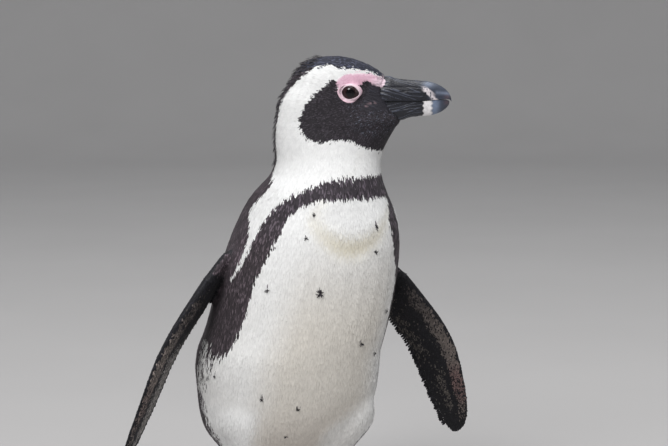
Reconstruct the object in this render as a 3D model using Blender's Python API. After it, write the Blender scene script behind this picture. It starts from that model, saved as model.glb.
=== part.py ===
"""African penguin, life size, standing at ease with its head turned to its left.

The bird faces -Y with its left side at +X, and +Z is up.  Its outline runs out to the tips
of the feathers.  Trunk, neck and head are one stack of level slices, parted by thin cuts.
The bird's own forward distance F is -Y, so a place is written (side, forward, height).
"""
import math

import bmesh
import bpy
import numpy as np
from mathutils import Vector

# ---------------------------------------------------------------- driving dimensions (metres)
GAP = 0.0003                # clearance between two pieces that touch
ROUND = 30                  # points round a slice of the body

NECK_F = 0.035              # forward place of the neck's upright axis
HEAD_TURN = math.radians(66.0)
TURN_FROM, TURN_TO = 0.292, 0.356      # heights between which the neck twists
HIP_TURN = math.radians(-12.0)         # the hips stay turned a little to the bird's right
HIP_TO = 0.280                         # height where the hips' turn has died away
LEAN_FROM, LEAN_TO = 0.100, 0.350      # heights between which the body shifts to its left
LEAN_SHIFT = 0.0275
BELLY_SAG, BELLY_Z, BELLY_REACH = 0.0044, 0.168, 0.020     # the belly hangs to its right here

EYE_F, EYE_Z = 0.0548, 0.408           # the eye's place before the head is turned
EYE_SIDE = 0.0165                      # eyeball centre from the head's middle plane
EYE_RADIUS = 0.0108

FLIPPER_CHORD = 0.047
FLIPPER_THICK = 0.0100
FLIPPER_BOW = 0.0070                   # how far a flipper's elbow stands out from the body
FLIPPER_ELBOW, FLIPPER_BEND = 0.43, 0.26               # where the elbow is, and its reach

FOOT_SIDE = 0.044                      # foot centre line from the middle plane
HEEL_F = -0.026
TOE_LENGTH = 0.072                     # heel to the tip of the middle toe, without its claw
TOE_THICK = 0.0095
WEB_THICK = 0.0034
CLAW_LENGTH = 0.0150

BLACK = (0.028, 0.027, 0.032, 1.0)
WHITE = (0.72, 0.71, 0.68, 1.0)
SLATE = (0.035, 0.040, 0.052, 1.0)
HORN = (0.020, 0.019, 0.022, 1.0)
EYE_BROWN = (0.020, 0.011, 0.012, 1.0)

# Control slices from the belly's underside to the crown:
# height, back and front (forward distance), half width, squareness, front taper
BODY_SLICES = (
    (0.0470, -0.0460, -0.0380, 0.0040, 2.0, 0.00),
    (0.0500, -0.0670, -0.0080, 0.0280, 2.0, 0.00),
    (0.0590, -0.0770, 0.0160, 0.0430, 2.0, 0.00),
    (0.0750, -0.0840, 0.0390, 0.0570, 2.1, 0.00),
    (0.0950, -0.0880, 0.0570, 0.0730, 2.1, 0.00),
    (0.1200, -0.0890, 0.0710, 0.0808, 2.1, 0.00),
    (0.1550, -0.0860, 0.0820, 0.0850, 2.1, 0.00),
    (0.1900, -0.0790, 0.0890, 0.0828, 2.1, 0.00),
    (0.2250, -0.0700, 0.0925, 0.0820, 2.1, 0.00),
    (0.2550, -0.0630, 0.0945, 0.0800, 2.1, 0.00),
    (0.2820, -0.0550, 0.0940, 0.0755, 2.1, 0.00),
    (0.3020, -0.0465, 0.0910, 0.0695, 2.0, 0.00),
    (0.3180, -0.0335, 0.0875, 0.0605, 2.0, 0.00),
    (0.3330, -0.0180, 0.0835, 0.0505, 2.0, 0.00),
    (0.3470, -0.0130, 0.0820, 0.0445, 2.0, 0.00),
    (0.3580, -0.0135, 0.0853, 0.0418, 2.0, 0.03),
    (0.3680, -0.0135, 0.0905, 0.0397, 2.0, 0.10),
    (0.3760, -0.0130, 0.0955, 0.0373, 2.0, 0.18),
    (0.3830, -0.0115, 0.0998, 0.0350, 2.0, 0.26),
    (0.3920, -0.0100, 0.0940, 0.0322, 2.0, 0.34),
    (0.4020, -0.0078, 0.0900, 0.0294, 2.0, 0.38),
    (0.4130, -0.0012, 0.0880, 0.0264, 2.0, 0.38),
    (0.4220, 0.0035, 0.0855, 0.0240, 2.1, 0.32),
    (0.4310, 0.0107, 0.0735, 0.0200, 2.2, 0.20),
    (0.4370, 0.0200, 0.0590, 0.0135, 2.2, 0.10),
    (0.4396, 0.0340, 0.0460, 0.0040, 2.0, 0.00),
)
NECK_ROW = 12               # control slice where the trunk ends and the neck begins
HEAD_ROW = 17               # control slice where the neck ends and the head begins
STEPS = 2                   # slices made for each control slice


# ---------------------------------------------------------------- small helpers
def smooth(value, start, end):
    """0 before start, 1 after end, with a soft rise between."""
    t = np.clip((value - start) / (end - start), 0.0, 1.0)
    return t * t * (3.0 - 2.0 * t)


def spline(rows, t):
    """Catmull-Rom curve through rows, read at the row number t."""
    rows = np.asarray(rows, float)
    first = min(int(t), len(rows) - 2)
    s = t - first
    a = rows[max(first - 1, 0)]
    b, c = rows[first], rows[first + 1]
    d = rows[min(first + 2, len(rows) - 1)]
    return 0.5 * (2 * b + (c - a) * s + (2 * a - 5 * b + 4 * c - d) * s ** 2
                  + (3 * b - a - 3 * c + d) * s ** 3)


def power(value, exponent):
    """Signed power, which shapes a superellipse."""
    return np.sign(value) * np.abs(value) ** exponent


def posed(points):
    """Takes (side, forward, height) rows to world space: neck twisted, body leaned."""
    points = np.asarray(points, float).reshape(-1, 3)
    side, forward, height = points.T
    lift = smooth(height, 0.0, HIP_TO)
    turn = HEAD_TURN * smooth(height, TURN_FROM, TURN_TO) + HIP_TURN * (1.0 - lift)
    axis = NECK_F * lift
    ahead = forward - axis
    turned_side = side * np.cos(turn) + ahead * np.sin(turn)
    turned_forward = ahead * np.cos(turn) - side * np.sin(turn) + axis
    leaned = turned_side + LEAN_SHIFT * smooth(height, LEAN_FROM, LEAN_TO)
    leaned -= BELLY_SAG * np.exp(-((height - BELLY_Z) / BELLY_REACH) ** 2)
    return np.column_stack((leaned, -turned_forward, height))


def material(name, colour, roughness):
    made = bpy.data.materials.new(name)
    made.use_nodes = True
    shader = made.node_tree.nodes["Principled BSDF"]
    shader.inputs["Base Color"].default_value = colour
    shader.inputs["Roughness"].default_value = roughness
    shader.inputs["Metallic"].default_value = 0.0
    return made


def add_object(name, mesh, finish, sharp_degrees=50.0):
    """Puts a mesh in the scene under the bird's empty, shaded smooth."""
    made = bpy.data.objects.new(name, mesh)
    bpy.context.scene.collection.objects.link(made)
    made.parent = bpy.data.objects["penguin"]
    mesh.shade_smooth()
    mesh.set_sharp_from_angle(angle=math.radians(sharp_degrees))
    mesh.materials.append(finish)
    return made


def mesh_from_rings(name, rings):
    """A closed mesh from a row of equal rings, each end closed with one flat face."""
    count = len(rings[0])
    shape = bmesh.new()
    loops = [[shape.verts.new(point) for point in ring] for ring in rings]
    for low, high in zip(loops, loops[1:]):
        for i in range(count):
            j = (i + 1) % count
            shape.faces.new((low[i], low[j], high[j], high[i]))
    shape.faces.new(list(reversed(loops[0])))
    shape.faces.new(loops[-1])
    bmesh.ops.recalc_face_normals(shape, faces=shape.faces)
    mesh = bpy.data.meshes.new(name)
    shape.to_mesh(mesh)
    shape.free()
    return mesh


def grown_cutter(source, distance=GAP):
    """A hidden copy of an object, grown outward, that cuts room for it in its neighbours."""
    bpy.context.view_layer.update()
    depsgraph = bpy.context.evaluated_depsgraph_get()
    mesh = bpy.data.meshes.new_from_object(source.evaluated_get(depsgraph))
    cutter = bpy.data.objects.new(source.name + "_cutter", mesh)
    bpy.context.scene.collection.objects.link(cutter)
    cutter.parent = source.parent
    cutter.matrix_local = source.matrix_local
    cutter.hide_render = True
    cutter.display_type = "WIRE"
    swell = cutter.modifiers.new("swell", "DISPLACE")
    swell.mid_level = 0.0
    swell.strength = distance
    return cutter


def boolean(target, other, operation="DIFFERENCE"):
    step = target.modifiers.new(operation.lower(), "BOOLEAN")
    step.operation = operation
    step.solver = "EXACT"
    step.object = other


# ---------------------------------------------------------------- trunk, neck and head
def body_slice(row):
    """One level slice of the body, from its height, ends, half width and shape."""
    height, back, front, half_width, square, taper = row
    turn = np.arange(ROUND) * 2.0 * math.pi / ROUND
    along = power(np.cos(turn), 2.0 / square)
    across = power(np.sin(turn), 2.0 / square) * (1.0 - taper * np.cos(turn))
    centre, half_length = (front + back) / 2.0, (front - back) / 2.0
    return np.column_stack((across * half_width, centre + along * half_length,
                            np.full(ROUND, height)))


def body_piece(name, first, last, finish):
    """The stretch of the body between two control slices, kept clear of its neighbours."""
    rings = []
    for step in range((last - first) * STEPS + 1):
        ring = body_slice(spline(BODY_SLICES, first + step / STEPS))
        rings.append(ring)
    if first > 0:
        rings[0][:, 2] += GAP
    return add_object(name, mesh_from_rings(name, [posed(ring) for ring in rings]), finish)


# ---------------------------------------------------------------- eyes and bill
def head_point(side, ahead, above):
    """World place of a point given from the eye line: to the side, ahead of it, above it."""
    return Vector(posed([(side, EYE_F + ahead, EYE_Z + above)])[0])


def build_eye(name, side, finish):
    """An eyeball, a little flattened where it looks out."""
    shape = bmesh.new()
    bmesh.ops.create_uvsphere(shape, u_segments=14, v_segments=9, radius=EYE_RADIUS)
    mesh = bpy.data.meshes.new(name)
    shape.to_mesh(mesh)
    shape.free()
    eye = add_object(name, mesh, finish)
    eye.location = head_point(side * EYE_SIDE, 0.0, 0.0)
    eye.rotation_euler = (0.0, math.radians(90.0), HEAD_TURN)
    return eye


# Bill rows from its root to its tip: ahead of the eye, top edge, mouth line, half width
UPPER_ROWS = (
    (0.0250, 0.0115, -0.0070, 0.0085),
    (0.0335, 0.0124, -0.0072, 0.0100),
    (0.0430, 0.0112, -0.0074, 0.0098),
    (0.0575, 0.0102, -0.0078, 0.0088),
    (0.0710, 0.0090, -0.0074, 0.0074),
    (0.0800, 0.0046, -0.0070, 0.0060),
    (0.0862, -0.0006, -0.0080, 0.0044),
    (0.0900, -0.0050, -0.0100, 0.0024),
    (0.0912, -0.0086, -0.0112, 0.0009),
)
# Lower bill: ahead of the eye, mouth line, bottom edge, half width
LOWER_ROWS = (
    (0.0300, -0.0076, -0.0210, 0.0072),
    (0.0400, -0.0078, -0.0236, 0.0086),
    (0.0500, -0.0081, -0.0236, 0.0084),
    (0.0620, -0.0083, -0.0220, 0.0078),
    (0.0740, -0.0080, -0.0206, 0.0064),
    (0.0820, -0.0076, -0.0192, 0.0050),
    (0.0865, -0.0088, -0.0172, 0.0036),
    (0.0882, -0.0112, -0.0148, 0.0018),
)
BILL_ROUND = 8              # points over the rounded side of a bill slice


def bill_slice(ahead, rounded, flat, half_width):
    """A D-shaped slice: flat along the mouth line and rounded away from it."""
    turn = np.linspace(0.0, math.pi, BILL_ROUND + 1)
    side = half_width * power(np.cos(turn), 0.85)
    above = flat + (rounded - flat) * power(np.sin(turn), 0.80)
    return [head_point(s, ahead, a) for s, a in zip(side, above)]


def build_bill(name, rows, flat_column, finish):
    """One half of the bill from its control rows."""
    rings = []
    for step in range((len(rows) - 1) * STEPS + 1):
        ahead, high, low, half_width = spline(rows, step / STEPS)
        rounded, flat = (high, low) if flat_column == "low" else (low, high)
        rings.append(bill_slice(ahead, rounded, flat, half_width))
    return add_object(name, mesh_from_rings(name, rings), finish)


# ---------------------------------------------------------------- flippers
# Stations along a flipper: share of its length, leading and trailing edge as shares of the
# chord, thickness as a share of the thickest
FLIPPER_ROWS = (
    (0.00, 0.02, -0.26, 0.85),
    (0.12, 0.31, -0.50, 1.32),
    (0.28, 0.52, -0.60, 1.35),
    (0.42, 0.67, -0.44, 1.08),
    (0.56, 0.74, -0.27, 0.88),
    (0.70, 0.73, -0.19, 0.72),
    (0.82, 0.66, -0.12, 0.62),
    (0.91, 0.54, -0.08, 0.52),
    (0.97, 0.38, -0.04, 0.42),
    (1.00, 0.20, 0.04, 0.28),
)
FLIPPER_ROUND = 14


def build_flipper(name, root, tip, lead_turn, finish):
    """A paddle from its shoulder to its tip, its leading edge turned out from straight ahead."""
    side = 1.0 if tip.x > root.x else -1.0
    span = (tip - root).normalized()
    lead = Vector((side * math.sin(lead_turn), -math.cos(lead_turn), 0.0))
    lead = (lead - span * lead.dot(span)).normalized()
    out = span.cross(lead)
    rings = []
    for step in range((len(FLIPPER_ROWS) - 1) * STEPS + 1):
        share, front, rear, thick = spline(FLIPPER_ROWS, step / STEPS)
        centre = root + span * (share * (tip - root).length)
        centre.x += side * FLIPPER_BOW * math.exp(-((share - FLIPPER_ELBOW) / FLIPPER_BEND) ** 2)
        ring = []
        for k in range(FLIPPER_ROUND):
            turn = 2.0 * math.pi * k / FLIPPER_ROUND
            across = (1.0 - math.cos(turn)) / 2.0
            chord = (front + (rear - front) * across) * FLIPPER_CHORD
            half = 0.5 * FLIPPER_THICK * thick * math.sin(turn) * (1.12 - 0.55 * across)
            ring.append(centre + lead * chord + out * half)
        rings.append(ring)
    return add_object(name, mesh_from_rings(name, rings), finish)


# ---------------------------------------------------------------- tail, legs and feet
# Stations along the tail: forward, height, half width, half thickness
TAIL_ROWS = (
    (-0.0480, 0.0900, 0.0300, 0.0170),
    (-0.0700, 0.0680, 0.0310, 0.0140),
    (-0.0900, 0.0440, 0.0280, 0.0100),
    (-0.1060, 0.0230, 0.0240, 0.0065),
    (-0.1170, 0.0080, 0.0190, 0.0040),
    (-0.1220, 0.0010, 0.0150, 0.0028),
    (-0.1245, -0.0025, 0.0120, 0.0020),
)
# Slices of a feathered leg: height, back, front (forward), centre to the side, half width
LEG_ROWS = (
    (0.0230, -0.0180, 0.0080, 0.0425, 0.0100),
    (0.0270, -0.0250, 0.0150, 0.0425, 0.0150),
    (0.0380, -0.0310, 0.0220, 0.0415, 0.0180),
    (0.0560, -0.0370, 0.0330, 0.0395, 0.0205),
    (0.0720, -0.0400, 0.0400, 0.0380, 0.0220),
    (0.0880, -0.0400, 0.0475, 0.0390, 0.0245),
    (0.1060, -0.0360, 0.0550, 0.0445, 0.0275),
    (0.1240, -0.0240, 0.0560, 0.0500, 0.0220),
    (0.1380, -0.0050, 0.0480, 0.0510, 0.0110),
)
THIGH_SPREAD = 0.0120                  # the left thigh swells this much further in than the right
THIGH_BULGE = 0.0070                   # and this much further out
TAIL_ROUND = 16
LEG_ROUND = 18


def build_tail(finish):
    """The stiff wedge tail, laid so that its tip ends on the floor."""
    rings = []
    for step in range((len(TAIL_ROWS) - 1) * STEPS + 1):
        t = step / STEPS
        forward, height, half_width, half_thick = spline(TAIL_ROWS, t)
        ahead = spline(TAIL_ROWS, min(t + 0.1, len(TAIL_ROWS) - 1.0))
        behind = spline(TAIL_ROWS, max(t - 0.1, 0.0))
        run = np.array((ahead[0] - behind[0], ahead[1] - behind[1]))
        run /= np.linalg.norm(run)
        turns = [2.0 * math.pi * k / TAIL_ROUND for k in range(TAIL_ROUND)]
        rings.append(posed([(half_width * math.cos(a),
                             forward - run[1] * half_thick * math.sin(a),
                             height + run[0] * half_thick * math.sin(a)) for a in turns]))
    return add_object("tail", mesh_from_rings("tail", rings), finish)


def build_leg(name, side, finish):
    """A feathered leg, from the flank down to just above the foot."""
    rings = []
    for step in range((len(LEG_ROWS) - 1) * STEPS + 1):
        height, back, front, outward, half_width = spline(LEG_ROWS, step / STEPS)
        centre, half_length = (front + back) / 2.0, (front - back) / 2.0
        if side > 0:
            swell = THIGH_SPREAD * smooth(height, 0.030, 0.072) * smooth(height, 0.124, 0.090)
            bulge = THIGH_BULGE * smooth(height, 0.080, 0.093) * smooth(height, 0.136, 0.106)
            outward += (bulge - swell) / 2.0
            half_width += (bulge + swell) / 2.0
        turns = [2.0 * math.pi * k / LEG_ROUND for k in range(LEG_ROUND)]
        rings.append(posed([(side * outward + half_width * math.cos(a),
                             centre + half_length * math.sin(a), height) for a in turns]))
    return add_object(name, mesh_from_rings(name, rings), finish)


TOE_ANGLES = (-20.0, 0.0, 21.0)        # inner, middle and outer toe, degrees from the foot's line
TOE_SHARES = (0.84, 1.00, 0.90)        # toe lengths as shares of the middle one
FAN_HALF = 31.0                        # half spread of the webbed fan, degrees
FAN_STEPS = 22                         # points across the fan
FAN_ROWS = 9                           # points from heel to toe tip
HEEL_HALF = 0.0100
FOOT_SPLAY = math.radians(9.0)


def nearest_toe(angle):
    """How much of a toe, 0 to 1, lies at this angle of the fan, and that toe's length."""
    best = min(range(len(TOE_ANGLES)), key=lambda i: abs(angle - TOE_ANGLES[i]))
    apart = abs(angle - TOE_ANGLES[best])
    return math.exp(-(apart / 5.0) ** 2), TOE_SHARES[best] * TOE_LENGTH


def fan_point(across, along):
    """A point of the webbed foot seen from above, with its height."""
    angle = across * FAN_HALF
    toe, length = nearest_toe(angle)
    reach = length * (0.80 + 0.20 * toe)
    theta = math.radians(angle)
    heel_turn = math.radians(across * 80.0)
    heel = Vector((HEEL_HALF * math.sin(heel_turn), -0.007 * math.cos(heel_turn)))
    edge = Vector((reach * math.sin(theta), reach * math.cos(theta)))
    place = heel.lerp(edge, along)
    off_toe = min(abs(theta - math.radians(a)) for a in TOE_ANGLES) * max(place.length, 0.008)
    ridge = math.exp(-(off_toe / 0.0050) ** 2)
    body = WEB_THICK + (TOE_THICK - WEB_THICK) * ridge
    fall = 1.0 - 0.45 * along ** 3
    border = 0.55 if along > 0.99 or abs(across) > 0.99 or along < 0.01 else 1.0
    return place, body * fall * border


def build_foot_fan(name):
    """The three webbed toes: a flat sole with the toes' ridges above it."""
    shape = bmesh.new()
    top, sole = [], []
    for i in range(FAN_STEPS + 1):
        across = 2.0 * i / FAN_STEPS - 1.0
        upper, lower = [], []
        for j in range(FAN_ROWS):
            place, height = fan_point(across, j / (FAN_ROWS - 1.0))
            upper.append(shape.verts.new((place.x, -place.y, height)))
            lower.append(shape.verts.new((place.x, -place.y, 0.0)))
        top.append(upper)
        sole.append(lower)
    for i in range(FAN_STEPS):
        for j in range(FAN_ROWS - 1):
            shape.faces.new((top[i][j], top[i + 1][j], top[i + 1][j + 1], top[i][j + 1]))
        shape.faces.new((sole[i][0], sole[i + 1][0], top[i + 1][0], top[i][0]))
        shape.faces.new((sole[i][-1], top[i][-1], top[i + 1][-1], sole[i + 1][-1]))
    for row in (0, FAN_STEPS):
        for j in range(FAN_ROWS - 1):
            shape.faces.new((sole[row][j], top[row][j], top[row][j + 1], sole[row][j + 1]))
    outline = [sole[0][j] for j in range(FAN_ROWS)]
    outline += [sole[i][-1] for i in range(1, FAN_STEPS)]
    outline += [sole[-1][j] for j in reversed(range(FAN_ROWS))]
    outline += [sole[i][0] for i in reversed(range(1, FAN_STEPS))]
    inner = [v for row in sole[1:-1] for v in row[1:-1]]
    shape.faces.new(outline)
    for vert in inner:
        shape.verts.remove(vert)
    bmesh.ops.recalc_face_normals(shape, faces=shape.faces)
    mesh = bpy.data.meshes.new(name)
    shape.to_mesh(mesh)
    shape.free()
    return mesh


def tapered_tube(name, points, radii, count, flatten=1.0):
    """A closed tube through points, with its own radius at each."""
    rings = []
    for i, (point, radius) in enumerate(zip(points, radii)):
        ahead = points[min(i + 1, len(points) - 1)]
        behind = points[max(i - 1, 0)]
        run = (ahead - behind).normalized()
        aside = run.cross(Vector((0.0, 0.0, 1.0)))
        if aside.length < 0.2:
            aside = Vector((1.0, 0.0, 0.0))
        aside.normalize()
        up = aside.cross(run).normalized()
        turns = [2.0 * math.pi * k / count for k in range(count)]
        rings.append([point + aside * radius * math.cos(a) + up * radius * flatten * math.sin(a)
                      for a in turns])
    return mesh_from_rings(name, rings)


def helper(name, mesh, parent_like):
    """A hidden building block, joined into or cut from another piece."""
    made = bpy.data.objects.new(name, mesh)
    bpy.context.scene.collection.objects.link(made)
    made.parent = parent_like.parent
    made.matrix_local = parent_like.matrix_local
    made.hide_render = True
    made.display_type = "WIRE"
    return made


def build_foot(label, side, leg_cutter, finish, claw_finish):
    """A webbed foot with its shank and its claws."""
    foot = add_object("foot_" + label, build_foot_fan("foot_" + label), finish)
    foot.location = posed([(side * FOOT_SIDE, HEEL_F, 0.0)])[0]
    foot.rotation_euler = (0.0, 0.0, side * FOOT_SPLAY + HIP_TURN)
    if side < 0:
        for vert in foot.data.vertices:
            vert.co.x = -vert.co.x
        foot.data.flip_normals()
    bpy.context.view_layer.update()
    shank = [Vector((0.0, 0.001, 0.0035)), Vector((0.0, 0.001, 0.012)),
             Vector((0.0, 0.0, 0.024)), Vector((0.0, -0.002, 0.044))]
    shank_block = helper("shank_block_" + label,
                         tapered_tube("shank_block", shank, (0.0086, 0.0080, 0.0078, 0.0084), 12),
                         foot)
    boolean(foot, shank_block, "UNION")
    hind = [Vector((-side * x, y, z)) for x, y, z in
            ((0.002, 0.0, 0.0080), (0.0085, -0.0045, 0.0075), (0.0125, -0.0095, 0.0052))]
    hind_block = helper("hind_block_" + label,
                        tapered_tube("hind_block", hind, (0.0040, 0.0034, 0.0026), 8), foot)
    boolean(foot, hind_block, "UNION")
    boolean(foot, leg_cutter)
    foot_cutter = grown_cutter(foot)
    toes = list(zip(("inner", "middle", "outer"), TOE_ANGLES, TOE_SHARES))
    for toe, angle, share in toes:
        theta = math.radians(angle) * side
        ahead = Vector((math.sin(theta), -math.cos(theta), 0.0))
        base = ahead * (TOE_LENGTH * share - 0.0045) + Vector((0.0, 0.0, 0.0045))
        build_claw("claw_%s_%s" % (label, toe), base, ahead, CLAW_LENGTH, 0.0034,
                   foot, foot_cutter, claw_finish)
    ahead = Vector((hind[2].x - hind[1].x, hind[2].y - hind[1].y, 0.0)).normalized()
    build_claw("claw_%s_hind" % label, hind[2] - ahead * 0.001, ahead,
               CLAW_LENGTH * 0.5, 0.0018, foot, foot_cutter, claw_finish)


def build_claw(name, base, ahead, length, radius, foot, foot_cutter, finish):
    """A curved, pointed claw that stays just above the floor."""
    points, radii = [], []
    steps = 4
    for i in range(steps + 1):
        t = i / steps
        thick = radius * (1.0 - 0.86 * t)
        drop = Vector((0.0, 0.0, -(base.z - 0.0008 - radius * 0.14) * t * t))
        points.append(base + ahead * length * t + drop)
        radii.append(thick)
    claw = add_object(name, tapered_tube(name, points, radii, 8), finish)
    claw.matrix_local = foot.matrix_local
    boolean(claw, foot_cutter)


# ---------------------------------------------------------------- assembly
def rest_on_floor(root):
    """Moves the whole bird so that its box is centred on the origin and stands on z = 0."""
    bpy.context.view_layer.update()
    depsgraph = bpy.context.evaluated_depsgraph_get()
    corners = []
    for item in bpy.context.scene.objects:
        if item.type != "MESH" or item.hide_render:
            continue
        mesh = item.evaluated_get(depsgraph).data
        places = np.empty(len(mesh.vertices) * 3)
        mesh.vertices.foreach_get("co", places)
        matrix = np.array(item.matrix_world)
        corners.append(places.reshape(-1, 3) @ matrix[:3, :3].T + matrix[:3, 3])
    corners = np.vstack(corners)
    low, high = corners.min(axis=0), corners.max(axis=0)
    root.location = (-(low[0] + high[0]) / 2.0, -(low[1] + high[1]) / 2.0, -low[2])


def main():
    for item in list(bpy.data.objects):
        bpy.data.objects.remove(item, do_unlink=True)
    root = bpy.data.objects.new("penguin", None)
    bpy.context.scene.collection.objects.link(root)

    plumage_dark = material("plumage_dark", BLACK, 0.75)
    plumage_white = material("plumage_white", WHITE, 0.85)
    skin_slate = material("foot_skin", SLATE, 0.60)
    horn = material("bill_horn", HORN, 0.35)
    claw_horn = material("claw_horn", HORN, 0.40)
    eye_brown = material("eye_brown", EYE_BROWN, 0.08)

    trunk = body_piece("trunk", 0, NECK_ROW, plumage_white)
    body_piece("neck", NECK_ROW, HEAD_ROW, plumage_white)
    head = body_piece("head", HEAD_ROW, len(BODY_SLICES) - 1, plumage_dark)

    for label, side in (("left", 1.0), ("right", -1.0)):
        eye = build_eye("eye_" + label, side, eye_brown)
        bpy.context.view_layer.update()
        boolean(head, grown_cutter(eye))
    for half in (build_bill("bill_upper", UPPER_ROWS, "low", horn),
                 build_bill("bill_lower", LOWER_ROWS, "high", horn)):
        boolean(head, grown_cutter(half))

    trunk_cutter = grown_cutter(trunk)
    tail = build_tail(plumage_dark)
    boolean(tail, trunk_cutter)

    build_flippers(trunk_cutter, plumage_dark)
    for label, side in (("left", 1.0), ("right", -1.0)):
        leg = build_leg("leg_" + label, side, plumage_white)
        boolean(leg, trunk_cutter)
        bpy.context.view_layer.update()
        build_foot(label, side, grown_cutter(leg), skin_slate, claw_horn)
    level_tail(tail)
    rest_on_floor(root)


def build_flippers(trunk_cutter, finish):
    """Both flippers hang held out and back from the shoulders."""
    left = build_flipper("flipper_left", Vector((0.086, -0.022, 0.260)),
                         Vector((0.181, 0.020, 0.074)), math.radians(40.0), finish)
    right = build_flipper("flipper_right", Vector((-0.064, -0.022, 0.268)),
                          Vector((-0.147, 0.020, 0.075)), math.radians(42.0), finish)
    for flipper in (left, right):
        boolean(flipper, trunk_cutter)


def level_tail(tail):
    """Cuts the tail's tip off level with the soles, which leaves the small flat it rests on."""
    shape = bmesh.new()
    bmesh.ops.create_cube(shape, size=1.0)
    mesh = bpy.data.meshes.new("floor_block")
    shape.to_mesh(mesh)
    shape.free()
    block = helper("floor_block", mesh, tail)
    block.location = (0.0, 0.0, -0.5)
    boolean(tail, block)


if __name__ == "__main__":
    main()
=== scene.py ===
"""African penguin, life size: its skin, plumage, bill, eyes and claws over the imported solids."""

import logging
import math
from dataclasses import dataclass, field
from enum import Enum
from functools import partial
from typing import Callable, Sequence

import bpy
import numpy as np
from mathutils import Matrix, Vector, noise
from mathutils.bvhtree import BVHTree


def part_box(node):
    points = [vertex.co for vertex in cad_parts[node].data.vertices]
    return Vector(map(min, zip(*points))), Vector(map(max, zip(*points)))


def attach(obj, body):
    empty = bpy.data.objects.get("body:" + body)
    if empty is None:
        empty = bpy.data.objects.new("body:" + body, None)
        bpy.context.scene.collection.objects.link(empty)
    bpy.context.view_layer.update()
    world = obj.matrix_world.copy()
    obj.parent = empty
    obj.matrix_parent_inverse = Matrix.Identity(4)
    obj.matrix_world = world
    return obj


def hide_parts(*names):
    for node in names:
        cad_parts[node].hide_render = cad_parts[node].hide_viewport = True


LOG = logging.getLogger("penguin")
Array = np.ndarray
Colour = tuple[float, float, float]
Pair = tuple[float, float]
Line = tuple[Pair, ...]
Row = tuple[float, ...]
Piece = bpy.types.Object
Mesh = bpy.types.Mesh
Socket = bpy.types.NodeSocket
Material = bpy.types.Material
SEED = 7
FLESH = ("trunk", "neck", "head", "tail", "flipper_left", "flipper_right",
         "leg_left", "leg_right", "foot_left", "foot_right")
EYE_RADIUS = 0.0104            # eyeball
CURVE_STEPS = 24               # points drawn between two corners of a closed curve
SRGB_BEND = 0.04045            # display value below which the light is a straight line

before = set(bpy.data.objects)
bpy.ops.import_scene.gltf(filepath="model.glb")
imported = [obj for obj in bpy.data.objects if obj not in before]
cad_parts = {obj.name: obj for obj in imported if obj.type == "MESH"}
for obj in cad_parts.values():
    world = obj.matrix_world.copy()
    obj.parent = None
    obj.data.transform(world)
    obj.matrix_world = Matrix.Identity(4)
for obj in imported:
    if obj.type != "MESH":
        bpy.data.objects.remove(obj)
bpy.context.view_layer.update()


# ------------------------------------------------------------------ shared helpers
def ease(value: Array, start: float, end: float) -> Array:
    """Rises softly from 0 at start to 1 at end."""
    t = np.clip((value - start) / (end - start), 0.0, 1.0)
    return t * t * (3.0 - 2.0 * t)


def unit(rows: Array) -> Array:
    """Scales each row to length 1."""
    return rows / np.maximum(np.linalg.norm(rows, axis=-1, keepdims=True), 1e-9)


def hump(value: Array, middle: float, reach: float) -> Array:
    """A smooth hump, 1 at its middle."""
    return np.exp(-((value - middle) / reach) ** 2)


def window(value: Array, rise: Pair, fall: Pair) -> Array:
    """Rises from 0 to 1 over one pair of values and falls back over the other."""
    return ease(value, *rise) * ease(value, *fall)


def blend(rows: Array, tint: Array | Colour, share: Array) -> Array:
    """Mixes a share of one colour into rows of colours."""
    return rows * (1.0 - share) + np.array(tint) * share


def repeat(row: Sequence[float], count: int) -> Array:
    """Repeats one row as many times as is asked."""
    return np.tile(np.array(row), (count, 1))


def spline(before: Array, start: Array, end: Array, after: Array, t: float) -> Array:
    """Draws a smooth curve through four points in a row.

    Args:
        before: the first point.
        start: the second point, where t is 0.
        end: the third point, where t is 1.
        after: the last point.
        t: how far along from start to end.

    Returns:
        The point on the curve.
    """
    return 0.5 * (2.0 * start + (end - before) * t
                  + (2.0 * before - 5.0 * start + 4.0 * end - after) * t ** 2
                  + (3.0 * start - before - 3.0 * end + after) * t ** 3)


def on_nodes(nodes: Array, *names: str) -> Array:
    """Tells which node numbers are those of the named nodes of flesh."""
    return np.isin(nodes, [FLESH.index(name) for name in names])


def linear(red: int, green: int, blue: int) -> Colour:
    """Turns a display colour, 0 to 255, into the linear light that shaders use."""
    shares = [c / 255.0 for c in (red, green, blue)]
    return tuple(c / 12.92 if c <= SRGB_BEND else ((c + 0.055) / 1.055) ** 2.4 for c in shares)


def select_only(*items: Piece) -> None:
    """Selects only the given objects.

    Args:
        items: the objects, of which the first one becomes active.
    """
    bpy.ops.object.select_all(action="DESELECT")
    for item in items:
        item.select_set(True)
    bpy.context.view_layer.objects.active = items[0]


def link_object(name: str, data: bpy.types.ID) -> Piece:
    """Puts a mesh, light or camera into the scene.

    Args:
        name: the new object's name.
        data: what the object shows.

    Returns:
        The object.
    """
    made = bpy.data.objects.new(name, data)
    bpy.context.scene.collection.objects.link(made)
    return made


def edit_all(piece: Piece, *steps: Callable[[], object]) -> None:
    """Runs edit steps on the whole of a piece.

    Args:
        piece: the object to change.
        steps: the steps, in order.
    """
    select_only(piece)
    bpy.ops.object.mode_set(mode="EDIT")
    bpy.ops.mesh.select_all(action="SELECT")
    for step in steps:
        step()
    bpy.ops.object.mode_set(mode="OBJECT")


def apply_modifier(piece: Piece, kind: str, **settings: object) -> None:
    """Adds one modifier to a piece and applies it.

    Args:
        piece: the object to change.
        kind: Blender's modifier type.
        settings: values for the modifier's own settings.
    """
    select_only(piece)
    step = piece.modifiers.new(kind.lower(), kind)
    for name, value in settings.items():
        setattr(step, name, value)
    bpy.ops.object.modifier_apply(modifier=step.name)


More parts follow.
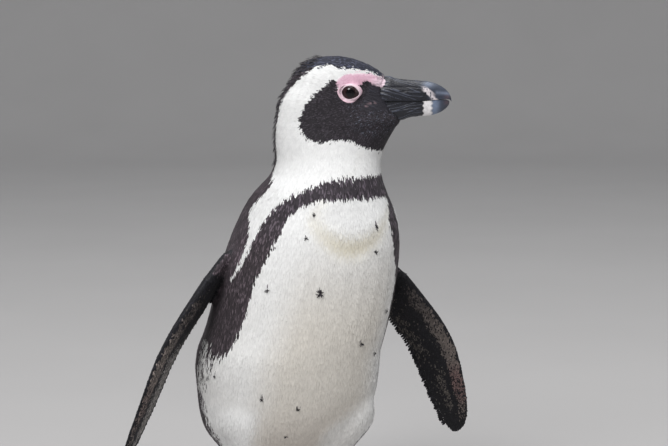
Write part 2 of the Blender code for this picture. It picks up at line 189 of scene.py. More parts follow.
def rows_of_three(items: Sequence, name: str) -> Array:
    """Reads a vector of each of a mesh's items.

    Args:
        items: the mesh's vertices, normals or stored values.
        name: the vector's name on each.

    Returns:
        One row of three for each item.
    """
    flat = np.empty(len(items) * 3, np.float32)
    items.foreach_get(name, flat)
    return flat.reshape(-1, 3).astype(float)


def vertex_places(mesh: Mesh) -> Array:
    """Reads a mesh's vertex places."""
    return rows_of_three(mesh.vertices, "co")


def vertex_normals(mesh: Mesh) -> Array:
    """Reads a mesh's vertex normals."""
    return rows_of_three(mesh.vertex_normals, "vector")


def edge_ends(mesh: Mesh) -> Array:
    """Reads the numbers of the two vertices at each edge's ends.

    Args:
        mesh: the mesh.

    Returns:
        One row of two for each edge.
    """
    flat = np.empty(len(mesh.edges) * 2, np.int32)
    mesh.edges.foreach_get("vertices", flat)
    return flat.reshape(-1, 2)


def write_places(mesh: Mesh, places: Array) -> None:
    """Writes rows of three back as a mesh's vertex places."""
    mesh.vertices.foreach_set("co", places.astype(np.float32).ravel())
    mesh.update()


def paint_vertices(mesh: Mesh, name: str, colours: Array) -> None:
    """Stores one colour for each vertex as a float colour attribute.

    Args:
        mesh: the mesh.
        name: the attribute's name.
        colours: one row of three for each vertex.
    """
    layer = mesh.attributes.new(name, "FLOAT_COLOR", "POINT")
    rgba = np.ones((len(colours), 4), np.float32)
    rgba[:, :3] = colours
    layer.data.foreach_set("color", rgba.ravel())


def box_centre(node: str) -> Vector:
    """The middle of a CAD node's box."""
    low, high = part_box(node)
    return (Vector(low) + Vector(high)) / 2.0


def copy_of(node: Piece, name: str) -> Piece:
    """Copies a CAD node as a new object with its own, merged mesh.

    Args:
        node: the CAD node's object.
        name: name for the copy.

    Returns:
        The copy, unparented, with its loose triangles joined.
    """
    made = link_object(name, node.data.copy())
    made.data.materials.clear()
    edit_all(made, partial(bpy.ops.mesh.remove_doubles, threshold=1e-6))
    return made


# ------------------------------------------------------------------ the bird's own directions
@dataclass
class Stance:
    """How the bird holds itself: turns a place in the world into one on an untwisted bird."""

    neck_forward: float = 0.035
    head_turn: float = math.radians(66.0)
    turn_heights: Pair = (0.292, 0.356)
    hip_turn: float = math.radians(-12.0)
    hip_height: float = 0.280
    lean_heights: Pair = (0.100, 0.350)
    lean_shift: float = 0.0275
    sag: float = 0.0044             # the belly hangs this far to its right
    sag_height: float = 0.168
    sag_reach: float = 0.020
    eye_forward: float = 0.0548
    shift_x: float = field(init=False)
    shift_y: float = field(init=False)
    eye_height: float = field(init=False)

    def __post_init__(self) -> None:
        """Finds the bird's place in the frame from its two eyes."""
        middle = (box_centre("eye_left") + box_centre("eye_right")) / 2.0
        self.eye_height = middle.z
        self.shift_x, self.shift_y = 0.0, 0.0
        eyes = self.to_world(np.array([[0.0, self.eye_forward, middle.z]]))[0]
        self.shift_x, self.shift_y = middle.x - eyes[0], middle.y - eyes[1]

    def turn_at(self, height: Array) -> tuple[Array, Array, Array]:
        """Finds how the body is twisted at each height.

        Args:
            height: heights above the floor.

        Returns:
            The turn, how far forward the axis stands and how far it leans to the side.
        """
        lift = ease(height, 0.0, self.hip_height)
        turn = self.head_turn * ease(height, *self.turn_heights)
        turn = turn + self.hip_turn * (1.0 - lift)
        lean = self.lean_shift * ease(height, *self.lean_heights)
        lean = lean - self.sag * np.exp(-((height - self.sag_height) / self.sag_reach) ** 2)
        return turn, self.neck_forward * lift, lean

    def to_world(self, body: Array) -> Array:
        """Takes places on the untwisted bird to the world.

        Args:
            body: rows of side, forward and height.

        Returns:
            Rows of x, y and z.
        """
        side, forward, height = body.T
        turn, axis, lean = self.turn_at(height)
        ahead = forward - axis
        x = side * np.cos(turn) + ahead * np.sin(turn) + lean + self.shift_x
        y = -(ahead * np.cos(turn) - side * np.sin(turn) + axis) + self.shift_y
        return np.column_stack((x, y, height))

    def to_body(self, world: Array) -> Array:
        """Takes places in the world to the untwisted bird.

        Args:
            world: rows of x, y and z.

        Returns:
            Rows of side, forward and height.
        """
        x, y, height = world.T
        turn, axis, lean = self.turn_at(height)
        x = x - self.shift_x - lean
        ahead = -(y - self.shift_y) - axis
        side = x * np.cos(turn) - ahead * np.sin(turn)
        forward = ahead * np.cos(turn) + x * np.sin(turn) + axis
        return np.column_stack((side, forward, height))

    def head_way(self) -> tuple[Vector, Vector]:
        """The way the bill points and the way to the head's left, in the world."""
        ahead = Vector((math.sin(self.head_turn), -math.cos(self.head_turn), 0.0))
        return ahead, Vector((math.cos(self.head_turn), math.sin(self.head_turn), 0.0))

    def head_place(self, side: float, ahead: float, above: float) -> Vector:
        """World place of a point given from the eyes' middle: to its left, ahead and above."""
        row = np.array([[side, self.eye_forward + ahead, self.eye_height + above]])
        return Vector(self.to_world(row)[0])


# ------------------------------------------------------------------ markings
@dataclass(frozen=True)
class Tints:
    """The plumage and skin colours, in linear light."""

    white: Colour = linear(243, 243, 242)
    belly: Colour = linear(227, 222, 213)
    groin: Colour = linear(214, 207, 198)
    # yellowish cream along the crease under the crop: partly the plumage's own tone, partly painted
    # shade in the crease
    crease: Colour = linear(224, 214, 184)
    band: Colour = linear(58, 52, 58)
    flank: Colour = linear(60, 53, 57)
    sheen: Colour = linear(64, 65, 74)
    face: Colour = linear(41, 37, 42)
    lore: Colour = linear(38, 36, 44)
    gape: Colour = linear(128, 108, 114)
    cap: Colour = linear(51, 53, 65)
    back: Colour = linear(66, 58, 63)
    pink: Colour = linear(226, 184, 201)
    pale_pink: Colour = linear(234, 210, 221)
    flipper: Colour = linear(22, 21, 26)
    flipper_band: Colour = linear(102, 94, 90)
    flipper_ruddy: Colour = linear(104, 84, 82)
    flipper_grey: Colour = linear(82, 77, 73)
    # painted sheen: the light grey of a flipper's inner face where light grazes it
    flipper_sheen: Colour = linear(132, 128, 126)
    foot: Colour = linear(44, 42, 44)
    foot_blotch: Colour = linear(150, 128, 124)
    lid_rim: Colour = linear(244, 232, 236)
    lid_base: Colour = linear(230, 198, 210)
    lid_inside: Colour = linear(60, 36, 38)
    eyeball: Colour = linear(30, 20, 22)
    iris: Colour = linear(42, 25, 25)
    pupil: Colour = linear(8, 6, 8)


def inside(outline: Sequence[Pair], across: Array, above: Array) -> Array:
    """Tells which places lie inside a closed outline.

    Args:
        outline: corners of the outline.
        across: first coordinate of each place.
        above: second coordinate of each place.

    Returns:
        True for each place inside.
    """
    found = np.zeros(len(across), bool)
    for (x0, y0), (x1, y1) in zip(outline, list(outline[1:]) + [outline[0]]):
        if y0 == y1:
            continue
        crosses = (above < max(y0, y1)) & (above >= min(y0, y1))
        found ^= crosses & (across < x0 + (above - y0) * (x1 - x0) / (y1 - y0))
    return found


# Edge that the pink skin shares with the black face: ahead of the eye, above it
PINK_EDGE = ((0.0312, 0.0100), (0.0306, 0.0065), (0.0281, 0.0040), (0.0251, 0.0046),
             (0.0201, 0.0072), (0.0156, 0.0100), (0.0100, 0.0096), (0.0080, 0.0050))


@dataclass
class Markings:
    """Where each colour of the coat lies, drawn on the untwisted bird."""

    stance: Stance
    tints: Tints = Tints()
    midline: float = -5.0      # the breast's middle, degrees round from straight ahead
    slice_step: float = 0.006  # spacing of the levels at which the body is measured
    # (height, degrees from the breast's middle) along each edge of the breast band and back
    band_outer: Line = (
        (0.150, 76.0), (0.173, 78.0), (0.190, 84.0), (0.2155, 84.0), (0.2412, 74.0),
        (0.2523, 68.5), (0.2687, 65.4), (0.283, 62.9), (0.2973, 60.4), (0.3101, 64.0),
        (0.3174, 65.6), (0.3233, 63.7), (0.3297, 59.6), (0.3318, 48.0), (0.3330, 0.0))
    band_inner: Line = (
        (0.150, 57.0), (0.1700, 60.0), (0.1751, 55.5), (0.205, 53.0), (0.2363, 52.6),
        (0.2516, 51.0), (0.2679, 47.5), (0.2847, 43.5), (0.2943, 42.2), (0.3038, 43.6),
        (0.3092, 43.0), (0.3130, 38.0), (0.3142, 0.0))
    back_edge: Line = (
        (0.020, 66.0), (0.050, 60.0), (0.070, 60.0), (0.082, 62.0), (0.090, 64.0),
        (0.100, 67.0), (0.112, 72.0), (0.125, 76.0), (0.134, 81.0), (0.145, 78.0),
        (0.160, 74.0), (0.172, 75.0), (0.190, 78.0), (0.2155, 78.0),
        (0.2412, 75.0), (0.259, 70.8), (0.2769, 70.2), (0.2911, 76.4), (0.3055, 90.0),
        (0.3172, 98.0), (0.3264, 114.0), (0.3311, 136.0), (0.340, 158.0), (0.352, 167.0),
        (0.3747, 168.0), (0.388, 167.0), (0.397, 163.0), (0.4057, 158.0), (0.4145, 150.0),
        (0.4234, 136.0), (0.4295, 127.0))
    band_foot: float = 0.171   # height where the band ends on the flank
    # Side and height along the fold between the belly and the left thigh
    left_fold: Line = (
        (0.008, 0.090), (0.011, 0.098), (0.016, 0.113), (0.031, 0.123), (0.047, 0.132),
        (0.068, 0.134))
    right_fold: Line = ((-0.044, 0.122), (-0.038, 0.088))
    # Outlines on the side of the head: ahead of the eye, above it
    cap_edge: Line = (
        (-0.0600, 0.0100), (-0.0450, 0.0165), (-0.0340, 0.0215), (-0.0200, 0.0238),
        (-0.0101, 0.0218), (-0.0004, 0.0214), (0.0140, 0.0190), (0.0200, 0.0170), (0.0250, 0.0148),
        (0.0307, 0.0120), (0.0400, 0.0100))
    face_outline: Line = (
        (-0.0172, 0.0130), (-0.0224, 0.0060), (-0.0330, -0.0018), (-0.0409, -0.0114),
        (-0.0453, -0.0219), (-0.0461, -0.0297), (-0.0417, -0.0374), (-0.0370, -0.0422),
        (-0.0250, -0.0438), (-0.0145, -0.0415), (0.0013, -0.0435), (0.0101, -0.0482),
        (0.0273, -0.0532), (0.0600, -0.0560), (0.0600, 0.0000), *PINK_EDGE,
        (0.0000, -0.0020), (-0.0118, 0.0040), (-0.0130, 0.0098))
    pink_outline: Line = (
        (-0.0125, 0.0080), (-0.0115, 0.0118), (-0.0048, 0.0156), (0.0040, 0.0172),
        (0.0138, 0.0168), (0.0180, 0.0162), (0.0227, 0.0146), (0.0285, 0.0128), *PINK_EDGE,
        (0.0000, 0.0020), (-0.0100, 0.0030))
    cheek_floor: float = 0.34      # heights below which face and bare skin end
    bare_floor: float = 0.36
    crease_turn: float = 3.0       # where the crease under the crop is lowest, in degrees
    crease_height: float = 0.2715
    band_top: float = 0.3345
    neck_level: float = 0.335      # above it the breast's middle is straight ahead
    bare_slant: float = 0.35       # how fast the bare skin narrows to above and below
    bare_middle: float = -0.012
    bare_edge: Pair = (0.0075, 0.0125)
    bare_levels: Line = ((-0.020, -0.012), (0.0125, 0.0105))
    left_depths: Pair = (0.0, 0.018)   # below its fold and to the side, where a thigh begins
    left_sides: Pair = (0.004, 0.026)
    right_heights: Pair = (0.134, 0.118)
    right_sides: Pair = (-0.038, -0.050)
    warm_turn: float = 6.0         # degrees to the middle and the edge of the warm front
    warm_edge: Pair = (52.0, 22.0)
    warm_least: float = 0.15
    thigh_share: float = 0.8
    belly_levels: Pair = (0.300, 0.190)
    groin_levels: Pair = (0.150, 0.090)
    crease_curve: float = 0.000025   # its rise per square degree
    crease_reach: Pair = (0.0092, 32.0)   # in height and in degrees
    crease_share: float = 0.62
    # Degrees by which the band is narrower on the left side, fading in over these heights
    left_narrowing: float = 7.5
    left_levels: Pair = (0.262, 0.235)
    ragged: float = 0.0035         # spread of the heights where the band ends
    # Degrees by which the back begins further round on the left thigh and above it
    left_back: Pair = (-10.0, 14.0)
    left_back_levels: Pair = (0.098, 0.114)
    left_back_top: float = 0.20
    crown_level: float = 0.030     # above the eye, where the cap takes over from the back
    flank_levels: Pair = (0.315, 0.262)
    sheen_ahead: Pair = (-0.012, 0.012)
    sheen_levels: Line = ((-0.044, -0.030), (-0.006, -0.014))
    sheen_share: float = 0.20
    # Corner of the mouth: middle ahead of and above the eye, half length and half width
    gape_middle: Pair = (0.0170, -0.0107)
    gape_half: Pair = (0.0046, 0.0005)
    gape_slope: float = 0.42
    gape_floor: float = 0.38
    pink_middle: Pair = (0.0055, 0.0105)
    pink_size: Pair = (0.0200, 0.0075)
    pink_fade: Pair = (1.25, 0.25)
    fringe: Pair = (0.138, 0.181)   # heights where the flank's edge breaks up
    # White gaps in that edge, then in the one below it: chance, depth in degrees
    fringe_gaps: Line = ((0.66, 8.0), (0.34, 15.0))
    thigh_gaps: Line = ((0.50, 6.0), (0.25, 11.0))
    # Dark specks outside it: share of places that stay clean, least depth in degrees
    flank_stray: Pair = (0.70, -8.0)
    thigh_stray: Pair = (0.88, -2.5)
    girth: float = 0.08            # radius of the body where the dark flecks lie
    spot_share: float = 0.5        # how much of a fleck's radius the skin shows
    spot_ceiling: float = 0.32
    # Dark flecks on the breast and belly: degrees round, height, radius
    spots: tuple[tuple[float, float, float], ...] = (
        (-32.8, 0.3037, 0.0019), (-30.1, 0.2833, 0.0019), (21.2, 0.2907, 0.0022),
        (21.2, 0.2683, 0.0020), (-47.1, 0.2368, 0.0019), (-13.9, 0.2353, 0.0034),
        (25.3, 0.1861, 0.0023), (-67.0, 0.1561, 0.0017), (-31.7, 0.1393, 0.0018),
        (-8.5, 0.1294, 0.0017), (-12.5, 0.1027, 0.0014), (45.0, 0.2119, 0.0022),
        (45.4, 0.1734, 0.0020))

    def __post_init__(self) -> None:
        """Measures the middle and the half sizes of the body at each level."""
        ends = []
        for name in ("trunk", "neck", "head"):
            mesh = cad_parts[name].data
            ends.append(self.stance.to_body(vertex_places(mesh))[edge_ends(mesh)])
        ends = np.concatenate(ends)
        low, high = ends[:, :, 2].min(axis=1), ends[:, :, 2].max(axis=1)
        self.levels = np.arange(low.min() + 0.008, high.max() - 0.004, self.slice_step)
        rows = []
        for level in self.levels:
            cut = ends[(low < level) & (high > level)]
            share = (level - cut[:, 0, 2]) / (cut[:, 1, 2] - cut[:, 0, 2])
            places = cut[:, 0] + (cut[:, 1] - cut[:, 0]) * share[:, None]
            back, front = places[:, 1].min(), places[:, 1].max()
            rows.append(((back + front) / 2.0, (front - back) / 2.0,
                         np.abs(places[:, 0]).max()))
        self.middles, self.halves, self.widths = np.array(rows).T

    def angle(self, body: Array) -> Array:
        """Finds how far round the body places lie.

        Args:
            body: places on the untwisted bird.

        Returns:
            Degrees from straight ahead, negative on the bird's right.
        """
        side, forward, height = body.T
        middle = np.interp(height, self.levels, self.middles)
        half = np.interp(height, self.levels, self.halves)
        width = np.interp(height, self.levels, self.widths)
        return np.degrees(np.arctan2(side / width, (forward - middle) / half))

    def head_plane(self, body: Array) -> tuple[Array, Array]:
        """Distance ahead of the eye and above it."""
        return body[:, 1] - self.stance.eye_forward, body[:, 2] - self.stance.eye_height

    def edge(self, curve: Sequence[Pair], height: Array) -> Array:
        """Reads an edge's angle at each height."""
        heights, angles = zip(*curve)
        return np.interp(height, heights, angles)

    def is_pink(self, body: Array) -> Array:
        """Places on the bare pink skin above and in front of the eye."""
        return inside(self.pink_outline, *self.head_plane(body))

    def is_face(self, body: Array) -> Array:
        """Places inside the black face and throat patch."""
        return inside(self.face_outline, *self.head_plane(body)) & (body[:, 2] > self.cheek_floor)

    def is_cap(self, body: Array) -> Array:
        """Tells which places lie on the black crown.

        Args:
            body: places on the untwisted bird.

        Returns:
            True for each place on it.
        """
        ahead, above = self.head_plane(body)
        aheads, aboves = zip(*self.cap_edge)
        return above > np.interp(ahead, aheads, aboves)

    def bareness(self, body: Array) -> Array:
        """Finds how bare the black skin is round the base of the bill.

        Args:
            body: places on the untwisted bird.

        Returns:
            Shares between 0 for feathered and 1 for bare.
        """
        ahead, above = self.head_plane(body)
        slant = self.bare_slant * np.abs(above - self.bare_middle)
        bare = ease(ahead - slant, *self.bare_edge) * window(above, *self.bare_levels)
        return bare * (body[:, 2] > self.bare_floor)

    def thighs(self, body: Array) -> Array:
        """Finds how far each place lies on the front of a thigh.

        Args:
            body: places on the untwisted bird.

        Returns:
            Shares between 0 and 1.
        """
        side, _, height = body.T
        line = np.interp(side, *zip(*self.left_fold))
        left = ease(line - height, *self.left_depths) * ease(side, *self.left_sides)
        right = ease(height, *self.right_heights) * ease(side, *self.right_sides)
        return np.maximum(left, right)

    def body_colours(self, body: Array, rng: np.random.Generator | None = None) -> Array:
        """Colours of trunk, neck, head and legs.

        Args:
            body: places on the untwisted bird.
            rng: source of the flecks that break the flanks' edges, or None for none.

        Returns:
            One linear colour for each place.
        """
        tints, height = self.tints, body[:, 2]
        ahead, above = self.head_plane(body)
        raw = self.angle(body)
        offset = np.where(height > self.neck_level, 0.0, self.midline)
        round_ = np.abs(raw - offset)
        rows = repeat(tints.white, len(body))
        warm = ease(np.abs(raw - self.warm_turn), *self.warm_edge)
        middle = self.warm_least + (1.0 - self.warm_least) * warm
        middle = middle * (1.0 - self.thigh_share * self.thighs(body))
        for tint, levels in ((tints.belly, self.belly_levels), (tints.groin, self.groin_levels)):
            low = (ease(height, *levels) * middle)[:, None]
            rows = blend(rows, tint, low)
        # Yellowish band along the crease under the crop: partly the plumage's own tone, partly
        # painted shade in the crease.
        turn = raw - self.crease_turn
        level = height - self.crease_height - self.crease_curve * turn ** 2
        crease = hump(level, 0.0, self.crease_reach[0]) * hump(turn, 0.0, self.crease_reach[1])
        crease = crease * self.crease_share
        rows = blend(rows, tints.crease, crease[:, None])

        outer, inner = self.edge(self.band_outer, height), self.edge(self.band_inner, height)
        inner = inner + self.left_narrowing * (raw > 0.0) * ease(height, *self.left_levels)
        ragged = 0.0 if rng is None else rng.normal(0.0, self.ragged, len(body))
        band = (round_ < outer) & (round_ > inner) & (height < self.band_top)
        band &= height + ragged > self.band_foot
        low, high = self.left_back
        hidden = (raw > 0.0) * (low + (high - low) * ease(height, *self.left_back_levels))
        back = round_ > self.edge(self.back_edge, height) + hidden * (height < self.left_back_top)
        back &= above < self.crown_level
        spotted = np.zeros(len(body), bool)
        for degrees, level, radius in self.spots:
            apart = np.radians(raw - degrees) * self.girth
            spotted |= np.hypot(apart, height - level) < radius * self.spot_share
        if rng is not None:
            speck = rng.random(len(body))
            depth = round_ - self.edge(self.back_edge, height)
            thigh = height <= self.fringe[0]
            flank = (height < self.fringe[1]) & (raw < 0.0) & ~thigh
            for area, gaps in ((flank, self.fringe_gaps), (thigh, self.thigh_gaps)):
                for chance, reach in gaps:
                    back &= ~((speck < chance) & area & (depth < reach))
            chance, reach = self.flank_stray
            spotted |= (speck > chance) & flank & (depth > reach)
            chance, reach = self.thigh_stray
            spotted |= (speck > chance) & thigh & (depth - hidden > reach)
        rows[spotted & (height < self.spot_ceiling)] = tints.band
        low = ease(height, *self.flank_levels)[:, None]
        rows[band] = blend(np.array(tints.band), tints.flank, low)[band]
        rows[back] = tints.back
        rows[self.is_cap(body)] = tints.cap
        rows[self.is_face(body)] = tints.face
        if rng is not None:
            shine = ease(ahead, *self.sheen_ahead) * window(above, *self.sheen_levels)
            shine = shine * self.sheen_share
            rows[self.is_face(body) & (rng.random(len(body)) < shine)] = tints.sheen
        bare = self.bareness(body)[:, None]
        rows = blend(rows, tints.lore, bare)
        forward, upward = ahead - self.gape_middle[0], above - self.gape_middle[1]
        gape = np.abs(upward - self.gape_slope * forward) < self.gape_half[1]
        gape &= (np.abs(forward) < self.gape_half[0]) & (height > self.gape_floor)
        rows[gape] = tints.gape
        pink = self.is_pink(body)
        centre = np.hypot((ahead - self.pink_middle[0]) / self.pink_size[0],
                          (above - self.pink_middle[1]) / self.pink_size[1])
        fade = ease(centre, *self.pink_fade)[:, None]
        rows[pink] = blend(np.array(tints.pale_pink), tints.pink, fade)[pink]
        return rows


@dataclass(frozen=True)
class Patch:
    """A soft-edged patch on a flipper's inner face, in shares along and across it."""

    start: float
    end: float
    near: float
    far: float
    soft: float                # softness of its long edges
    strength: float = 1.0
    before: float = 0.06       # how far ahead of its start it begins to show
    blur: float = 0.05         # how far each end takes to be full or gone

    def chance(self, along: Array, across: Array) -> Array:
        """Finds the chance of the patch's colour.

        Args:
            along: share along the span.
            across: share from leading to trailing edge.

        Returns:
            Chance at each place.
        """
        lengthwise = window(along, (self.start - self.before, self.start + self.blur),
                            (self.end + self.blur, self.end - self.blur))
        crosswise = window(across, (self.near - self.soft, self.near + self.soft),
                           (self.far + self.soft, self.far - self.soft))
        return self.strength * lengthwise * crosswise


@dataclass
class Paddle:
    """A flipper's own directions, from its shoulder to its tip."""

    stance: Stance
    root: tuple[float, float, float]
    tip: tuple[float, float, float]
    lead_turn: float
    chord: float = 0.047
    bow: float = 0.0070            # how far its elbow stands out from the body
    elbow: float = 0.43
    elbow_reach: float = 0.26
    ruddy: float = 1.0             # how ruddy the outer part of its pale band is
    rear_sheen: float = 0.0         # strength of the painted sheen: light grey on the rear half of its inner face
    shares: Row = (0.0, 0.12, 0.28, 0.42, 0.56, 0.70, 0.82, 0.91, 0.97, 1.0)
    front: Row = (0.02, 0.31, 0.52, 0.67, 0.74, 0.73, 0.66, 0.54, 0.38, 0.20)
    rear: Row = (
        -0.26, -0.50, -0.60, -0.44, -0.27, -0.19, -0.12, -0.08, -0.04, 0.04)
    strip: Patch = Patch(0.22, 0.93, 0.045, 0.29, 0.022)
    strip_strength: float = 0.80
    # What the pale strip gains, and between which shares of the span
    strip_gains: tuple[Row, ...] = ((0.14, 0.30, 0.50), (-0.26, 0.62, 0.70), (-0.30, 0.78, 0.92))
    greys: tuple[Patch, ...] = (
        Patch(0.66, 0.88, 0.44, 0.62, 0.05, 0.9), Patch(0.34, 0.58, 0.70, 0.97, 0.08, 0.7),
        Patch(0.20, 0.90, 0.30, 0.90, 0.1, 0.05))
    # Where that painted sheen lies on the inner face
    sheen_patch: Patch = Patch(0.46, 0.97, 0.46, 1.20, 0.14)
    # Height, cycles and start of the waves in the patches' long edges
    waves: tuple[Row, ...] = ((0.020, 41.0, 0.0), (0.018, 97.0, 1.0), (0.015, 211.0, 2.0))
    wave_start: Pair = (0.05, 0.20)
    streaks: Line = ((190.0, -26.0), (83.0, 11.0))   # cycles along and across
    clump_streaks: Pair = (-1.5, -0.1)
    grey_streaks: Pair = (-1.2, 0.4)
    between: float = 0.55      # share of the strip that is left between the streaks
    ruddy_shares: Line = ((0.58, 0.70), (0.88, 0.78))
    faint: float = 0.45        # strength of the strip's colour by the shoulder
    faint_shares: Pair = (0.24, 0.52)

    def __post_init__(self) -> None:
        """Works out the paddle's span, leading and outward directions."""
        shift = Vector((self.stance.shift_x, self.stance.shift_y, 0.0))
        self.start = Vector(self.root) + shift
        self.end = Vector(self.tip) + shift
        hand = 1.0 if self.tip[0] > self.root[0] else -1.0
        self.sideways = np.array((hand * self.bow, 0.0, 0.0))
        self.length = (self.end - self.start).length
        self.span = (self.end - self.start).normalized()
        lead = Vector((hand * math.sin(self.lead_turn), -math.cos(self.lead_turn), 0.0))
        self.lead = (lead - self.span * lead.dot(self.span)).normalized()
        self.outward = self.span.cross(self.lead) * hand
        if self.outward.x * hand < 0:
            self.outward = -self.outward

    def place(self, world: Array) -> tuple[Array, Array, Array]:
        """Finds where places lie on the paddle.

        Args:
            world: places in the world.

        Returns:
            Share along the span, share from leading to trailing edge, and distance outward.
        """
        away = world - np.array(self.start)
        along = away @ np.array(self.span) / self.length
        for _ in range(3):
            straight = away - self.bend(along)[:, None] * self.sideways
            along = straight @ np.array(self.span) / self.length
        away = straight
        ahead = away @ np.array(self.lead) / self.chord
        front, rear = self.edges(along)
        return along, (front - ahead) / (front - rear), away @ np.array(self.outward)

    def edges(self, share: Array) -> tuple[Array, Array]:
        """How far ahead the front and rear edges lie at each share of the span."""
        return tuple(np.interp(share, self.shares, edge) for edge in (self.front, self.rear))

    def bend(self, share: Array) -> Array:
        """How much of the bow lies at each share of the span, 0 to 1."""
        return np.exp(-((share - self.elbow) / self.elbow_reach) ** 2)

    def edge_point(self, share: float, across: float) -> Vector:
        """Finds a point of the paddle's middle sheet.

        Args:
            share: share along the span.
            across: share from leading to trailing edge.

        Returns:
            The point in the world.
        """
        front, rear = self.edges(share)
        ahead = (front + (rear - front) * across) * self.chord
        straight = self.start + self.span * (share * self.length) + self.lead * float(ahead)
        return straight + Vector(self.sideways * float(self.bend(share)))

    def colours(self, world: Array, inner: Array, tints: Tints,
                rng: np.random.Generator | None = None) -> Array:
        """Colours of the flipper's coat.

        Args:
            world: places on the flipper.
            inner: True where the inner face is looked at.
            tints: the bird's colours.
            rng: source of the speckle, or None for a plain reading.

        Returns:
            One linear colour for each place.
        """
        along, across, _ = self.place(world)
        rows = repeat(tints.flipper, len(world))
        chance = np.full(len(world), 0.5) if rng is None else rng.random(len(world))
        wave = sum(rise * np.sin(along * cycles + start) for rise, cycles, start in self.waves)
        shifted = across + wave * ease(across, *self.wave_start)
        streak = sum(np.sin(along * a + across * b) for a, b in self.streaks)
        level = self.strip_strength
        for gain, start, end in self.strip_gains:
            level = level + gain * ease(along, start, end)
        strip = self.strip.chance(along, shifted) * level
        ruddy = window(along, *self.ruddy_shares)[:, None] * self.ruddy
        faint = (self.faint + (1.0 - self.faint) * ease(along, *self.faint_shares))[:, None]
        shade = blend(np.array(tints.flipper_band), tints.flipper_ruddy, ruddy)
        clump = self.between + (1.0 - self.between) * ease(streak, *self.clump_streaks)
        struck = inner & (chance < strip * clump)
        shade = blend(np.array(tints.flipper), shade, faint)
        rows[struck] = shade[struck]
        grey = np.max([patch.chance(along, shifted) for patch in self.greys], axis=0)
        grey = inner & (chance < grey * ease(streak, *self.grey_streaks))
        rows[grey] = np.array(tints.flipper_grey)
        # Painted sheen: light grey laid over the rear half of the inner face, where the light
        # grazes it.
        pale = self.rear_sheen * self.sheen_patch.chance(along, shifted)
        rows[inner & (chance < pale)] = np.array(tints.flipper_sheen)
        return rows


@dataclass
class Surface:
    """A mesh read into arrays, with what each corner belongs to."""

    places: Array
    normals: Array
    faces: Array
    nodes: Array
    body: Array

    def tree(self) -> BVHTree:
        """Builds a search tree over the surface."""
        return BVHTree.FromPolygons([Vector(row) for row in self.places], self.faces.tolist())

    def owners(self) -> Array:
        """The node number of each face, by its first corner."""
        return self.nodes[self.faces[:, 0]]


@dataclass
class NodeFinder:
    """Finds the node of flesh nearest to a place, from one search tree over all of them."""

    tree: BVHTree
    owner: Array

    def at(self, places: Array) -> Array:
        """The number of the nearest node at each place."""
        return np.array([self.owner[self.tree.find_nearest(Vector(row))[2]] for row in places])


